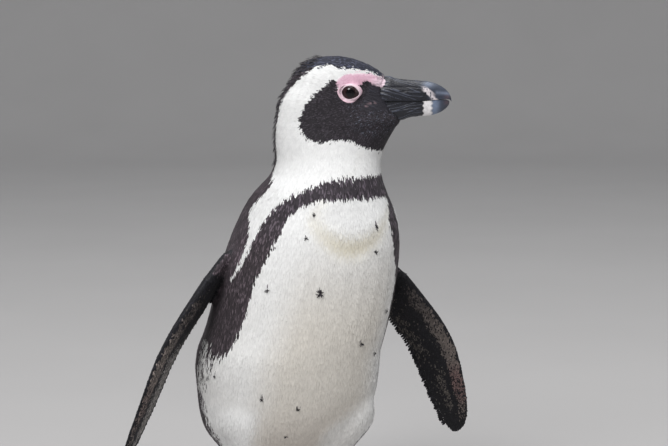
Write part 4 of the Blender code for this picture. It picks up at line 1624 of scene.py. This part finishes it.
def closed_curve(corners: Sequence[Pair], count: int) -> Array:
    """Draws a smooth closed curve through corners, with its points at even angles.

    Args:
        corners: points on the curve, in order round it.
        count: number of points wanted.

    Returns:
        One row of two numbers for each point.
    """
    fixed = np.array(corners)
    total, drawn = len(fixed), []
    for number in range(total):
        before, start, end, after = (fixed[(number + i) % total] for i in (-1, 0, 1, 2))
        for t in np.linspace(0.0, 1.0, CURVE_STEPS, endpoint=False):
            drawn.append(spline(before, start, end, after, t))
    drawn = np.array(drawn)
    turn = np.arctan2(drawn[:, 1], drawn[:, 0])
    order = np.argsort(turn)
    turn, reach = turn[order], np.linalg.norm(drawn[order], axis=1)
    angles = np.linspace(-math.pi, math.pi, count, endpoint=False)
    reach = np.interp(angles, turn, reach, period=2.0 * math.pi)
    return np.column_stack((np.cos(angles), np.sin(angles))) * reach[:, None]


@dataclass
class Eye:
    """One eye: a glossy ball behind a pale ring of lid."""

    stance: Stance
    hand: str
    points: int = 120
    radius: float = EYE_RADIUS
    lip: float = 0.0007
    iris: float = 0.0066           # half widths on the ball's face
    pupil: float = 0.0036
    tints: Tints = Tints()
    shares: Row = (0.0, 0.0, 0.08, 0.2, 0.35, 0.5, 0.65, 0.8, 0.92, 1.0, 1.08)

    def build(self, surface: Surface) -> None:
        """Builds the ball and its lids.

        Args:
            surface: the skin as arrays, which the lids join.
        """
        node = "eye_" + self.hand
        centre = box_centre(node)
        sign = 1.0 if self.hand == "left" else -1.0
        ahead, left = self.stance.head_way()
        outward = left * sign
        self.build_ball(node, centre, outward)
        tree = surface.tree()
        inner = closed_curve(EYE_OPENING, self.points)
        outer = closed_curve(EYE_RING, self.points)
        rows = []
        for number, share in enumerate(self.shares):
            row = []
            for near, far in zip(inner, outer):
                flat = Vector((near[0], near[1])).lerp(Vector((far[0], far[1])), share)
                ball = math.sqrt(max(self.radius ** 2 - flat.length_squared, 0.0))
                level = centre + ahead * flat.x + Vector((0.0, 0.0, flat.y))
                hit = tree.ray_cast(level + outward * 0.03, -outward)
                skin = (hit[0] - level).dot(outward) if hit[0] else ball - 0.004
                height = max(ball + 0.0002, skin) if share < 0.95 else skin
                height += self.lip * math.sin(math.pi * min(share, 1.0)) ** 0.6
                height += 0.00014 * math.sin(share * 24.0) * (1.0 - min(share, 1.0))
                if number == 0:
                    height -= 0.0016
                if share > 1.0:
                    height -= 0.0008
                row.append(centre + ahead * flat.x + Vector((0.0, 0.0, flat.y))
                           + outward * height)
            rows.append(row)
        mesh = bpy.data.meshes.new("eyelid_" + self.hand)
        faces = []
        for r in range(len(rows) - 1):
            for i in range(self.points):
                j = (i + 1) % self.points
                a, b = r * self.points, (r + 1) * self.points
                faces.append((a + i, a + j, b + j, b + i))
        mesh.from_pydata([tuple(p) for row in rows for p in row], [], faces)
        lid = link_object(mesh.name, mesh)
        if sum(face.normal.dot(outward) for face in mesh.polygons) < 0.0:
            mesh.flip_normals()
        select_only(lid)
        bpy.ops.object.shade_smooth()
        share = np.repeat(np.array(self.shares), self.points)[:, None]
        colours = blend(np.array(self.tints.lid_rim), self.tints.lid_base,
                        ease(share, 0.30, 0.85))
        colours[:self.points * 2] = self.tints.lid_inside
        paint_vertices(mesh, "Tint", colours)
        mesh.materials.append(LidFinish().build())
        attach(lid, "root")
        LOG.info("eyelid_%s built", self.hand)

    def build_ball(self, node: str, centre: Vector, outward: Vector) -> None:
        """Builds the eyeball with its raised cornea, dark iris and pupil.

        Args:
            node: the CAD eye it stands for.
            centre: its middle.
            outward: the way it looks.
        """
        bpy.ops.object.select_all(action="DESELECT")
        bpy.ops.mesh.primitive_uv_sphere_add(segments=96, ring_count=64, radius=self.radius,
                                             location=centre)
        ball = bpy.context.active_object
        ball.rotation_mode = "QUATERNION"
        ball.rotation_quaternion = outward.to_track_quat("Z", "Y")
        bpy.ops.object.transform_apply(location=True, rotation=True, scale=True)
        ball.name = ball.data.name = "eyeball_" + self.hand
        places = vertex_places(ball.data)
        away = unit(places - np.array(centre))
        facing = away @ np.array(outward)
        rim = np.sqrt(np.maximum(1.0 - facing ** 2, 0.0)) * self.radius
        rise = np.abs(away[:, 2]) * self.radius
        dome = ease(facing, 0.78, 0.97) * 0.0005 - ease(rise, 0.0066, 0.0076) * 0.0012
        write_places(ball.data, places + away * dome[:, None])
        colours = repeat(self.tints.eyeball, len(places))
        colours[rim < self.iris] = self.tints.iris
        colours[rim < self.pupil] = self.tints.pupil
        paint_vertices(ball.data, "Tint", colours)
        select_only(ball)
        bpy.ops.object.shade_smooth()
        ball.data.materials.append(EyeFinish().build())
        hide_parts(node)
        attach(ball, "root")
        LOG.info("eyeball_%s built", self.hand)


# ------------------------------------------------------------------ bill and claws
def flow_through(rows: Sequence[Row], count: int) -> Array:
    """Draws smooth curves through control rows.

    Args:
        rows: control rows of numbers.
        count: rows wanted.

    Returns:
        The rows, evenly spaced in number along the curves.
    """
    fixed, drawn = np.array(rows), []
    for step in np.linspace(0.0, len(rows) - 1.0, count):
        number = min(int(step), len(rows) - 2)
        t = step - number
        before, after = fixed[max(number - 1, 0)], fixed[min(number + 2, len(rows) - 1)]
        drawn.append(spline(before, fixed[number], fixed[number + 1], after, t))
    return np.array(drawn)


@dataclass(frozen=True)
class HornTints:
    """The bill's colours, in linear light."""

    slate: Colour = linear(27, 28, 36)
    # painted highlight along the crests of the bill's wrinkles
    crest_highlight: Colour = linear(96, 101, 118)
    tip: Colour = linear(54, 60, 74)
    ruddy: Colour = linear(98, 74, 78)
    upper_sheen: Colour = linear(126, 136, 156)
    lower_sheen: Colour = linear(128, 142, 168)
    upper_band: Colour = linear(212, 204, 208)
    lower_band: Colour = linear(242, 239, 240)


@dataclass
class Bill:
    """The horn of the bill: two wrinkled mandibles with a pale band and a hooked tip."""

    stance: Stance
    tints: HornTints = HornTints()
    rings: int = 250
    round_points: int = 140
    flat_mouth: float = 0.0006     # the mouth's faces stay flat this close to its line
    middles: Pair = (0.001, -0.015)   # height from which each half's sides swell
    # Ahead of the eye, ridge or keel height, mouth line height, half width
    upper: tuple[Row, ...] = (
        (0.0230, 0.0112, -0.0086, 0.0086), (0.0335, 0.0134, -0.0082, 0.0101),
        (0.0403, 0.0116, -0.0080, 0.0101), (0.0521, 0.0103, -0.0082, 0.0093),
        (0.0622, 0.0096, -0.0081, 0.0084), (0.0689, 0.0091, -0.0074, 0.0077),
        (0.0756, 0.0074, -0.0071, 0.0068), (0.0812, 0.0048, -0.0068, 0.0058),
        (0.0852, 0.0019, -0.0067, 0.0047), (0.0882, -0.0014, -0.0070, 0.0034),
        (0.0899, -0.0050, -0.0081, 0.0018), (0.0905, -0.0078, -0.0092, 0.0005))
    lower: tuple[Row, ...] = (
        (0.0230, -0.0235, -0.0090, 0.0078), (0.0380, -0.0262, -0.0086, 0.0088),
        (0.0464, -0.0254, -0.0085, 0.0088), (0.0532, -0.0230, -0.0086, 0.0085),
        (0.0622, -0.0218, -0.0085, 0.0078), (0.0723, -0.0211, -0.0078, 0.0067),
        (0.0801, -0.0187, -0.0074, 0.0054), (0.0852, -0.0154, -0.0073, 0.0040),
        (0.0878, -0.0124, -0.0080, 0.0024), (0.0886, -0.0106, -0.0090, 0.0006))
    fold_pitch: Row = (34.0, 5.5, 45.0)   # wrinkles along, up and aslant
    fine_pitch: Pair = (1.7, 2.1)  # of the fine ones, against the others
    fold_width: float = 0.100
    fine_width: float = 0.090
    fine_share: float = 0.55
    wrinkled: Pair = (0.072, 0.058)    # distances ahead where the wrinkles begin and are full
    mouth_rise: Pair = (0.02, 0.12)
    wrinkle_rise: float = 0.00034
    tip_share: float = 0.08        # share of that height at the tip
    # Middles and reaches ahead of and above the eye
    nostril: Line = ((0.0480, 0.0030), (0.0005, 0.0006))
    nostril_depth: float = 0.0007
    groove: Pair = (0.0040, 0.0012)
    groove_depth: float = 0.00028
    highlight_rise: Pair = (0.00012, 0.00036)   # heights of wrinkle that get the painted highlight
    highlight_strength: float = 0.50
    pink_shade: float = 0.84
    dark_tip: Pair = (0.066, 0.074)
    ruddy_ahead: float = 0.0862
    ruddy_levels: Pair = (-0.0045, -0.0095)   # on the upper half and on the lower
    ruddy_reach: float = 0.0028
    ruddy_share: float = 0.45
    dusk: Line = ((0.0690, 0.0050), (0.0062, 0.0030))
    dusk_share: float = 0.75
    sheen_from: float = 0.07
    sheen_slope: float = 0.10
    sheen_reach: float = 0.0016
    sheen_start: Pair = (0.0745, 0.0775)
    sheen_share: float = 0.55
    # The pale band: its slant, waves and gaps, and where it lies ahead of the eye
    band_slope: float = 0.85
    band_level: float = -0.0060
    band_wave: Row = (0.0009, 1100.0, 500.0)
    upper_span: Line = ((0.0700, 0.0730), (0.0790, 0.0755))
    band_ceiling: Pair = (0.0058, 0.0030)
    gap_pitch: Pair = (900.0, 420.0)
    gaps: Pair = (-0.42, -0.10)
    lower_sheen: Pair = (0.0755, 0.0040)
    lower_share: float = 0.8
    lower_wave: Pair = (0.0006, 1400.0)
    lower_span: Line = ((0.0644, 0.0658), (0.0740, 0.0712))

    def build(self) -> None:
        """Builds both mandibles."""
        for node, rows, top in (("bill_upper", self.upper, True),
                                ("bill_lower", self.lower, False)):
            self.build_half(node, rows, top)

    def build_half(self, node: str, rows: Sequence[Row], top: bool) -> None:
        """Builds one mandible as a closed loft with wrinkled sides.

        Args:
            node: the CAD node it stands for.
            rows: its control rows.
            top: True for the upper mandible.
        """
        turn = np.linspace(0.0, math.pi, self.round_points)
        flat = np.linspace(-0.92, 0.92, 9)
        drawn = flow_through(rows, self.rings)
        each, places = len(turn) + len(flat), []
        for ahead, far, mouth, half in drawn:
            side = np.sign(np.cos(turn)) * np.abs(np.cos(turn)) ** 0.85 * half
            above = mouth + (far - mouth) * np.sin(turn) ** 0.80
            side = np.concatenate((side, flat * half))
            above = np.concatenate((above, np.full(len(flat), mouth)))
            for s, a in zip(side, above):
                places.append((s, ahead, a))
        places = np.array(places)
        side, ahead, above = places.T
        raised = self.wrinkles(side, ahead, above, top)
        push = raised * (np.abs(above - np.repeat(drawn[:, 2], each)) > self.flat_mouth)
        middle = self.middles[0 if top else 1]
        away = unit(np.column_stack((side, np.zeros(len(side)), above - middle)))
        body = np.column_stack((side, ahead + self.stance.eye_forward,
                                above + self.stance.eye_height))
        body = body + away * push[:, None]
        world = self.stance.to_world(body)
        faces = []
        for ring in range(self.rings - 1):
            for i in range(each):
                j, a, b = (i + 1) % each, ring * each, (ring + 1) * each
                faces.append((a + i, a + j, b + j, b + i))
        faces.append(tuple(range(each)))
        faces.append(tuple((self.rings - 1) * each + i for i in range(each)))
        mesh = bpy.data.meshes.new("horn_" + node)
        mesh.from_pydata(world.tolist(), [], faces)
        piece = link_object(mesh.name, mesh)
        paint_vertices(mesh, "Tint", self.colours(ahead, above, raised, top))
        edit_all(piece, partial(bpy.ops.mesh.normals_make_consistent, inside=False))
        bpy.ops.object.shade_smooth_by_angle(angle=math.radians(50.0))
        mesh.materials.append(BillFinish().build())
        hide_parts(node)
        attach(piece, "root")
        LOG.info("%s: %d faces", piece.name, len(mesh.polygons))

    def edges(self, ahead: Array, top: bool) -> tuple[Array, Array]:
        """Ridge or keel height and mouth line height of a mandible.

        Args:
            ahead: distance ahead of the eye.
            top: True for the upper mandible.

        Returns:
            Both heights at each place.
        """
        rows = np.array(self.upper if top else self.lower)
        return (np.interp(ahead, rows[:, 0], rows[:, 1]),
                np.interp(ahead, rows[:, 0], rows[:, 2]))

    def wrinkles(self, side: Array, ahead: Array, above: Array, top: bool) -> Array:
        """Height of the long wrinkles, the groove and the nostril at each place.

        Args:
            side: distance from the head's middle plane.
            ahead: distance ahead of the eye.
            above: distance above the eye.
            top: True for the upper mandible.

        Returns:
            How far each place stands out.
        """
        ridge, mouth = self.edges(ahead, top)
        level = np.clip((above - mouth) / (ridge - mouth), 0.0, 1.1)
        along, up, aslant = self.fold_pitch
        spots = np.column_stack((ahead * along, level * up + ahead * aslant, np.sign(side) * 3.0))
        folds = np.array([noise.noise(Vector(row)) for row in spots])
        spots = spots * (*self.fine_pitch, 1.0) + (0.0, 0.0, 9.0)
        fine = np.array([noise.noise(Vector(row)) for row in spots])
        rear = ease(ahead, *self.wrinkled)
        lines = hump(folds, 0.0, self.fold_width)
        lines = lines + self.fine_share * hump(fine, 0.0, self.fine_width)
        lines = lines * ease(level, *self.mouth_rise)
        raised = self.wrinkle_rise * lines * (self.tip_share + (1.0 - self.tip_share) * rear)
        if top:
            slit = hump(ahead, *self.nostril[0]) * hump(above, *self.nostril[1])
            raised = raised - self.nostril_depth * slit
            raised -= self.groove_depth * hump(above, *self.groove) * rear
        return raised

    def colours(self, ahead: Array, above: Array, raised: Array, top: bool) -> Array:
        """Colours of a mandible, from its base to its tip.

        Args:
            ahead: distance ahead of the eye.
            above: distance above the eye.
            raised: height of the wrinkles there.
            top: True for the upper mandible.

        Returns:
            One linear colour for each place.
        """
        tints = self.tints
        # Painted highlight: the raised crests of the wrinkles are lightened towards the crest
        # colour.
        painted_highlight = ease(raised, *self.highlight_rise)[:, None] * self.highlight_strength
        rows = blend(np.array(tints.slate), tints.crest_highlight, painted_highlight)
        pink = inside(Markings.pink_outline, ahead, above) & top
        rows[pink] = np.array(Tints.pale_pink) * self.pink_shade
        rows = blend(rows, tints.tip, ease(ahead, *self.dark_tip)[:, None])
        ruddy = hump(above, self.ruddy_levels[0 if top else 1], self.ruddy_reach)
        ruddy = ruddy * hump(ahead, self.ruddy_ahead, self.ruddy_reach) * self.ruddy_share
        rows = blend(rows, tints.ruddy, ruddy[:, None])
        if top:
            dusk = hump(ahead, *self.dusk[0]) * hump(above, *self.dusk[1])
            sheen = hump(above + self.sheen_slope * (ahead - self.sheen_from), 0.0,
                         self.sheen_reach) * ease(ahead, *self.sheen_start)
            cool = np.clip(dusk * self.dusk_share + sheen * self.sheen_share, 0.0, 1.0)
            rows = blend(rows, tints.upper_sheen, cool[:, None])
            rise, up, along = self.band_wave
            slant = ahead + self.band_slope * (above - self.band_level)
            slant = slant + rise * np.sin(above * up + ahead * along)
            band = window(slant, *self.upper_span) * ease(above, *self.band_ceiling)
            ragged = np.array([noise.noise(Vector((a * self.gap_pitch[0],
                                                   b * self.gap_pitch[1], 1.0)))
                               for a, b in zip(ahead, above)])
            band = band * ease(ragged, *self.gaps)
            pale = tints.upper_band
        else:
            cool = hump(ahead, *self.lower_sheen) * self.lower_share
            rows = blend(rows, tints.lower_sheen, cool[:, None])
            rise, up = self.lower_wave
            band = window(ahead + rise * np.sin(above * up), *self.lower_span)
            pale = tints.lower_band
        return blend(rows, pale, band[:, None])


@dataclass
class Claws:
    """The eight claws, smooth dark horn."""

    toes: tuple[str, ...] = ("inner", "middle", "outer", "hind")
    voxel: float = 0.00034

    def build(self) -> None:
        """Builds every claw."""
        finish = ClawFinish().build()
        for hand in ("left", "right"):
            for toe in self.toes:
                node = f"claw_{hand}_{toe}"
                piece = copy_of(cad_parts[node], "horn_" + node)
                apply_modifier(piece, "REMESH", mode="VOXEL", voxel_size=self.voxel)
                apply_modifier(piece, "SMOOTH", factor=0.5, iterations=5)
                select_only(piece)
                bpy.ops.object.shade_smooth()
                piece.data.materials.append(finish)
                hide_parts(node)
                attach(piece, "root")
        LOG.info("claws built")


# ------------------------------------------------------------------ finishes
class Recipe:
    """A material under construction."""

    def __init__(self, name: str) -> None:
        """Starts a material with its shader.

        Args:
            name: the material's name.
        """
        self.material = bpy.data.materials.new(name)
        self.material.use_nodes = True
        self.nodes = self.material.node_tree.nodes
        self.link = self.material.node_tree.links.new
        self.shader = self.nodes["Principled BSDF"]

    def node(self, kind: str, **values: object) -> bpy.types.Node:
        """Adds a node and sets its inputs or its own settings.

        Args:
            kind: the node's type.
            values: inputs by name, with _ for spaces, or settings of the node.

        Returns:
            The node.
        """
        made = self.nodes.new(kind)
        for key, value in values.items():
            if key in made.inputs:
                made.inputs[key].default_value = value
            else:
                setattr(made, key, value)
        return made

    def tint(self, name: str = "Tint") -> Socket:
        """The colour stored on the mesh under a name."""
        return self.node("ShaderNodeAttribute", attribute_name=name).outputs["Color"]

    def place(self) -> Socket:
        """Object coordinates."""
        return self.node("ShaderNodeTexCoord").outputs["Object"]

    def noise(self, scale: float, detail: float = 3.0,
              where: Socket | None = None) -> Socket:
        """Cloudy noise on the object's coordinates.

        Args:
            scale: clouds to the metre.
            detail: layers of finer noise.
            where: coordinates, or None for the object's own.

        Returns:
            The noise's strength.
        """
        made = self.node("ShaderNodeTexNoise", Scale=scale, Detail=detail)
        self.link(where or self.place(), made.inputs["Vector"])
        return made.outputs["Fac"]

    def ramp(self, source: Socket, low: float, high: float,
             start: float = 0.0, end: float = 1.0) -> Socket:
        """Stretches part of a strength's range over another range.

        Args:
            source: the strength.
            low: strength that becomes start.
            high: strength that becomes end.
            start: lowest result.
            end: highest result.

        Returns:
            The new strength.
        """
        made = self.node("ShaderNodeMapRange")
        self.link(source, made.inputs["Value"])
        for number, value in enumerate((low, high, start, end), 1):
            made.inputs[number].default_value = value
        return made.outputs[0]

    def mix(self, share: Socket, first: object, second: object,
            blend: str = "MIX") -> Socket:
        """Mixes two colours.

        Args:
            share: how much of the second.
            first: a socket or a fixed colour.
            second: a socket or a fixed colour.
            blend: the way they mix.

        Returns:
            The mixed colour.
        """
        made = self.node("ShaderNodeMix", data_type="RGBA", blend_type=blend)
        self.link(share, made.inputs[0])
        for number, value in ((6, first), (7, second)):
            if isinstance(value, Socket):
                self.link(value, made.inputs[number])
            else:
                made.inputs[number].default_value = (*value, 1.0)
        return made.outputs[2]

    def clouded(self, cloud: Socket) -> None:
        """Gives the shader the stored tint, darkened and lightened by a cloud.

        Args:
            cloud: the factor at each place.
        """
        made = self.node("ShaderNodeMix", data_type="RGBA", blend_type="MULTIPLY")
        made.inputs[0].default_value = 1.0
        self.link(self.tint(), made.inputs[6])
        self.link(cloud, made.inputs[7])
        self.link(made.outputs[2], self.shader.inputs["Base Color"])

    def bump(self, source: Socket, depth: float,
             strength: float = 1.0) -> None:
        """Raises the surface by a strength.

        Args:
            source: the strength.
            depth: height of the raised places in metres.
            strength: share of the effect.
        """
        made = self.node("ShaderNodeBump", Strength=strength, Distance=depth)
        self.link(source, made.inputs["Height"])
        if self.shader.inputs["Normal"].is_linked:
            earlier = self.shader.inputs["Normal"].links[0].from_socket
            self.link(earlier, made.inputs["Normal"])
        self.link(made.outputs[0], self.shader.inputs["Normal"])

    def settle(self, **values: float) -> Material:
        """Sets the shader's own even values.

        Args:
            values: inputs by name, with _ for spaces.

        Returns:
            The finished material.
        """
        for key, value in values.items():
            self.shader.inputs[key.replace("_", " ")].default_value = value
        return self.material


@dataclass(frozen=True)
class FeatherFinish:
    """Matt feather with faint barbs and cloudy shading."""

    roughness: float = 0.72

    def build(self) -> Material:
        """Makes the material.

        Returns:
            The material.
        """
        recipe = Recipe("feather")
        recipe.clouded(recipe.ramp(recipe.noise(220.0, 4.0), 0.25, 0.75, 0.93, 1.04))
        recipe.bump(recipe.noise(3400.0, 2.0), 0.00007, 0.5)
        return recipe.settle(Roughness=self.roughness, Specular_IOR_Level=0.28,
                             Sheen_Weight=0.06, Sheen_Roughness=0.5)


@dataclass(frozen=True)
class SkinFinish:
    """Bare skin under the coat: scaly on the feet, finely wrinkled above the eyes, with painted
    highlights on the wrinkles' crests.
    """

    roughness: float = 0.55

    def build(self) -> Material:
        """Makes the material.

        Returns:
            The material.
        """
        recipe = Recipe("skin")
        tints = Tints()
        parts = recipe.node("ShaderNodeSeparateColor")
        recipe.link(recipe.tint("Kind"), parts.inputs[0])
        cells = recipe.node("ShaderNodeTexVoronoi", Scale=520.0, feature="DISTANCE_TO_EDGE")
        recipe.link(recipe.place(), cells.inputs["Vector"])
        plates = recipe.ramp(cells.outputs["Distance"], 0.02, 0.22)
        blotch = recipe.ramp(recipe.noise(75.0, 3.0), 0.56, 0.68)
        foot = recipe.mix(blotch, tints.foot, tints.foot_blotch)
        foot = recipe.mix(plates, linear(24, 22, 23), foot)
        colour = recipe.mix(parts.outputs[0], recipe.tint(), foot)
        fleck = recipe.ramp(recipe.noise(900.0, 3.0), 0.35, 0.70)
        veined = recipe.mix(fleck, linear(210, 164, 184), recipe.tint())
        colour = recipe.mix(parts.outputs[1], colour, veined)
        stretch = recipe.node("ShaderNodeMapping")
        stretch.inputs["Scale"].default_value = (0.09, 1.0, 0.35)
        recipe.link(recipe.tint("HeadPlace"), stretch.inputs["Vector"])
        folds = recipe.noise(780.0, 3.0, stretch.outputs[0])
        # Painted highlight: bluish-grey on the crests of the wrinkles in the bare skin round the
        # base of the bill.
        crest_highlight = recipe.ramp(folds, 0.60, 0.84)
        crest_highlighted = recipe.mix(crest_highlight, recipe.tint(), linear(78, 80, 95))
        colour = recipe.mix(parts.outputs[2], colour, crest_highlighted)
        recipe.link(colour, recipe.shader.inputs["Base Color"])
        for pattern, part, height in ((plates, 0, 0.0005), (folds, 2, 0.0018)):
            raised = recipe.node("ShaderNodeMath", operation="MULTIPLY")
            recipe.link(pattern, raised.inputs[0])
            recipe.link(parts.outputs[part], raised.inputs[1])
            recipe.bump(raised.outputs[0], height, 0.9)
        recipe.bump(recipe.noise(1500.0, 4.0), 0.00025, 0.6)
        return recipe.settle(Roughness=self.roughness, Specular_IOR_Level=0.4)


@dataclass(frozen=True)
class LidFinish:
    """Pale pinkish rim of bare skin round the eye."""

    def build(self) -> Material:
        """Makes the material.

        Returns:
            The material.
        """
        recipe = Recipe("eyelid")
        grain = recipe.ramp(recipe.noise(1300.0, 4.0), 0.3, 0.7)
        colour = recipe.mix(grain, linear(220, 184, 197), recipe.tint())
        recipe.link(colour, recipe.shader.inputs["Base Color"])
        recipe.bump(recipe.noise(2600.0, 3.0), 0.00022, 0.6)
        return recipe.settle(Roughness=0.5, Specular_IOR_Level=0.4)


@dataclass(frozen=True)
class EyeFinish:
    """Wet dark eye."""

    def build(self) -> Material:
        """Makes the material.

        Returns:
            The material.
        """
        recipe = Recipe("eye")
        recipe.clouded(recipe.ramp(recipe.noise(1500.0, 3.0), 0.3, 0.7, 0.75, 1.15))
        return recipe.settle(Roughness=0.08, Specular_IOR_Level=0.35)


@dataclass(frozen=True)
class BillFinish:
    """Slate horn, faintly streaked, with painted highlights along its wrinkles' crests."""

    def build(self) -> Material:
        """Makes the material.

        Returns:
            The material.
        """
        recipe = Recipe("bill_horn")
        recipe.clouded(recipe.ramp(recipe.noise(420.0, 4.0), 0.3, 0.72, 0.85, 1.14))
        recipe.link(recipe.ramp(recipe.noise(700.0, 3.0), 0.3, 0.7, 0.34, 0.50),
                    recipe.shader.inputs["Roughness"])
        recipe.bump(recipe.noise(1100.0, 4.0), 0.00012, 0.6)
        return recipe.settle(Specular_IOR_Level=0.45, Coat_Weight=0.10, Coat_Roughness=0.25)


@dataclass(frozen=True)
class ClawFinish:
    """Dark claw horn with growth lines."""

    def build(self) -> Material:
        """Makes the material.

        Returns:
            The material.
        """
        recipe = Recipe("claw_horn")
        lines = recipe.node("ShaderNodeTexWave", Scale=300.0, Distortion=4.0, Detail=2.0)
        recipe.link(recipe.place(), lines.inputs["Vector"])
        colour = recipe.mix(recipe.ramp(lines.outputs["Fac"], 0.2, 0.8),
                            linear(28, 26, 28), linear(58, 52, 50))
        recipe.link(colour, recipe.shader.inputs["Base Color"])
        recipe.bump(lines.outputs["Fac"], 0.00010, 0.5)
        return recipe.settle(Roughness=0.38, Specular_IOR_Level=0.5)


@dataclass(frozen=True)
class FloorFinish:
    """Plain pale studio floor."""

    def build(self) -> Material:
        """Makes the material.

        Returns:
            The material.
        """
        recipe = Recipe("floor")
        cloud = recipe.mix(recipe.noise(3.0, 2.0), linear(176, 174, 173), linear(182, 180, 179))
        recipe.link(cloud, recipe.shader.inputs["Base Color"])
        return recipe.settle(Roughness=0.9)


# ------------------------------------------------------------------ studio
@dataclass(frozen=True)
class Lamp:
    """One soft round light: where it hangs, its width and its power in watts."""

    name: str
    place: tuple[float, float, float]
    size: float
    power: float


@dataclass
class Studio:
    """Floor, soft lights and the camera."""

    stance: Stance
    turn: float = math.radians(-24.0)
    tilt: float = math.radians(6.5)
    distance: float = 1.70
    anchor_side: float = -0.026      # the right eye's face, which the view is set out from
    right_of_anchor: float = -0.01452
    below_anchor: float = 0.114576
    seen_width: float = 0.58784      # width of the view at the bird
    sensor: float = 36.0
    floor_drop: float = -0.0004
    floor_sides: int = 96
    floor_rings: Row = (0.0, 1.5, 3.0, 4.2)
    wall_bend: float = 1.6
    bend_steps: int = 14
    wall_height: float = 4.0
    lit_point: tuple[float, float, float] = (0.0, 0.0, 0.25)
    sky: Colour = (0.90, 0.93, 0.97)
    sky_strength: float = 0.60
    lamps: tuple[Lamp, ...] = (
        Lamp("key", (-1.8, -1.8, 2.7), 1.5, 74.0),
        Lamp("fill", (2.4, -1.8, 1.2), 2.0, 8.0),
        Lamp("top", (0.2, -0.2, 3.2), 2.2, 46.0))

    def build(self) -> None:
        """Builds the whole studio."""
        bpy.context.scene.view_settings.view_transform = "Standard"
        self.build_floor()
        self.build_camera()
        self.build_lights()

    def build_floor(self) -> None:
        """Lays a round pale floor whose rim sweeps up into a seamless wall."""
        turns, bend = self.floor_sides, self.wall_bend
        rim = self.floor_rings[-1]
        profile = [(reach, 0.0) for reach in self.floor_rings]
        profile += [(rim + bend * math.sin(a), bend - bend * math.cos(a))
                    for a in np.linspace(0.1, math.pi / 2.0, self.bend_steps)]
        profile.append((rim + bend, self.wall_height))
        corners, faces = [(0.0, 0.0, self.floor_drop)], []
        for reach, height in profile[1:]:
            for i in range(turns):
                turn = 2.0 * math.pi * i / turns
                corners.append((reach * math.cos(turn), reach * math.sin(turn),
                                height + self.floor_drop))
        for i in range(turns):
            j = (i + 1) % turns
            faces.append((0, 1 + i, 1 + j))
            for ring in range(len(profile) - 2):
                a, b = 1 + ring * turns, 1 + (ring + 1) * turns
                faces.append((a + i, b + i, b + j, a + j))
        mesh = bpy.data.meshes.new("floor")
        mesh.from_pydata(corners, [], faces)
        floor = link_object("floor", mesh)
        select_only(floor)
        bpy.ops.object.shade_smooth()
        mesh.materials.append(FloorFinish().build())

    def build_camera(self) -> None:
        """Places the camera from the right eye."""
        right = Vector((math.cos(self.turn), math.sin(self.turn), 0.0))
        back = Vector((math.sin(self.turn) * math.cos(self.tilt),
                       -math.cos(self.turn) * math.cos(self.tilt), math.sin(self.tilt)))
        up = back.cross(right)
        target = self.stance.head_place(self.anchor_side, 0.0, 0.0)
        target = target + right * self.right_of_anchor - up * self.below_anchor
        lens = bpy.data.cameras.new("camera")
        lens.sensor_width = self.sensor
        lens.lens = self.sensor * self.distance / self.seen_width
        camera = link_object("camera", lens)
        camera.matrix_world = Matrix((
            (right.x, up.x, back.x, 0.0), (right.y, up.y, back.y, 0.0),
            (right.z, up.z, back.z, 0.0), (0.0, 0.0, 0.0, 1.0)))
        camera.location = target + back * self.distance
        bpy.context.scene.camera = camera

    def build_lights(self) -> None:
        """Hangs large soft lights above and to both sides."""
        for lamp in self.lamps:
            light = bpy.data.lights.new(lamp.name, "AREA")
            light.shape = "DISK"
            light.size = lamp.size
            light.energy = lamp.power
            hung = link_object(lamp.name, light)
            hung.location = lamp.place
            aim = Vector(self.lit_point) - Vector(lamp.place)
            hung.rotation_euler = aim.to_track_quat("-Z", "Y").to_euler()
        world = bpy.data.worlds.new("sky")
        bpy.context.scene.world = world
        world.use_nodes = True
        sky = world.node_tree.nodes["Background"]
        sky.inputs["Color"].default_value = (*self.sky, 1.0)
        sky.inputs["Strength"].default_value = self.sky_strength


def main() -> None:
    """Builds the bird piece by piece, then its studio."""
    logging.basicConfig(level=logging.INFO, format="%(message)s")
    stance = Stance()
    markings = Markings(stance)
    paddles = {
        "flipper_left": Paddle(stance, (0.086, -0.022, 0.260), (0.181, 0.020, 0.074),
                               math.radians(40.0)),
        "flipper_right": Paddle(stance, (-0.064, -0.022, 0.268), (-0.147, 0.020, 0.075),
                                math.radians(42.0), ruddy=0.3, rear_sheen=0.8)}
    body = Skin(stance, markings, paddles)
    skin, surface = body.build()
    body.dress(skin, surface)
    plumage = Plumage(skin, surface, markings, paddles)
    plumage.cover_body()
    plumage.cover_flippers()
    plumage.cover_nape()
    plumage.cover_spots()
    plumage.cover_tail()
    for hand in ("left", "right"):
        Eye(stance, hand).build(surface)
    Bill(stance).build()
    Claws().build()
    Studio(stance).build()


if __name__ == "__main__":
    main()
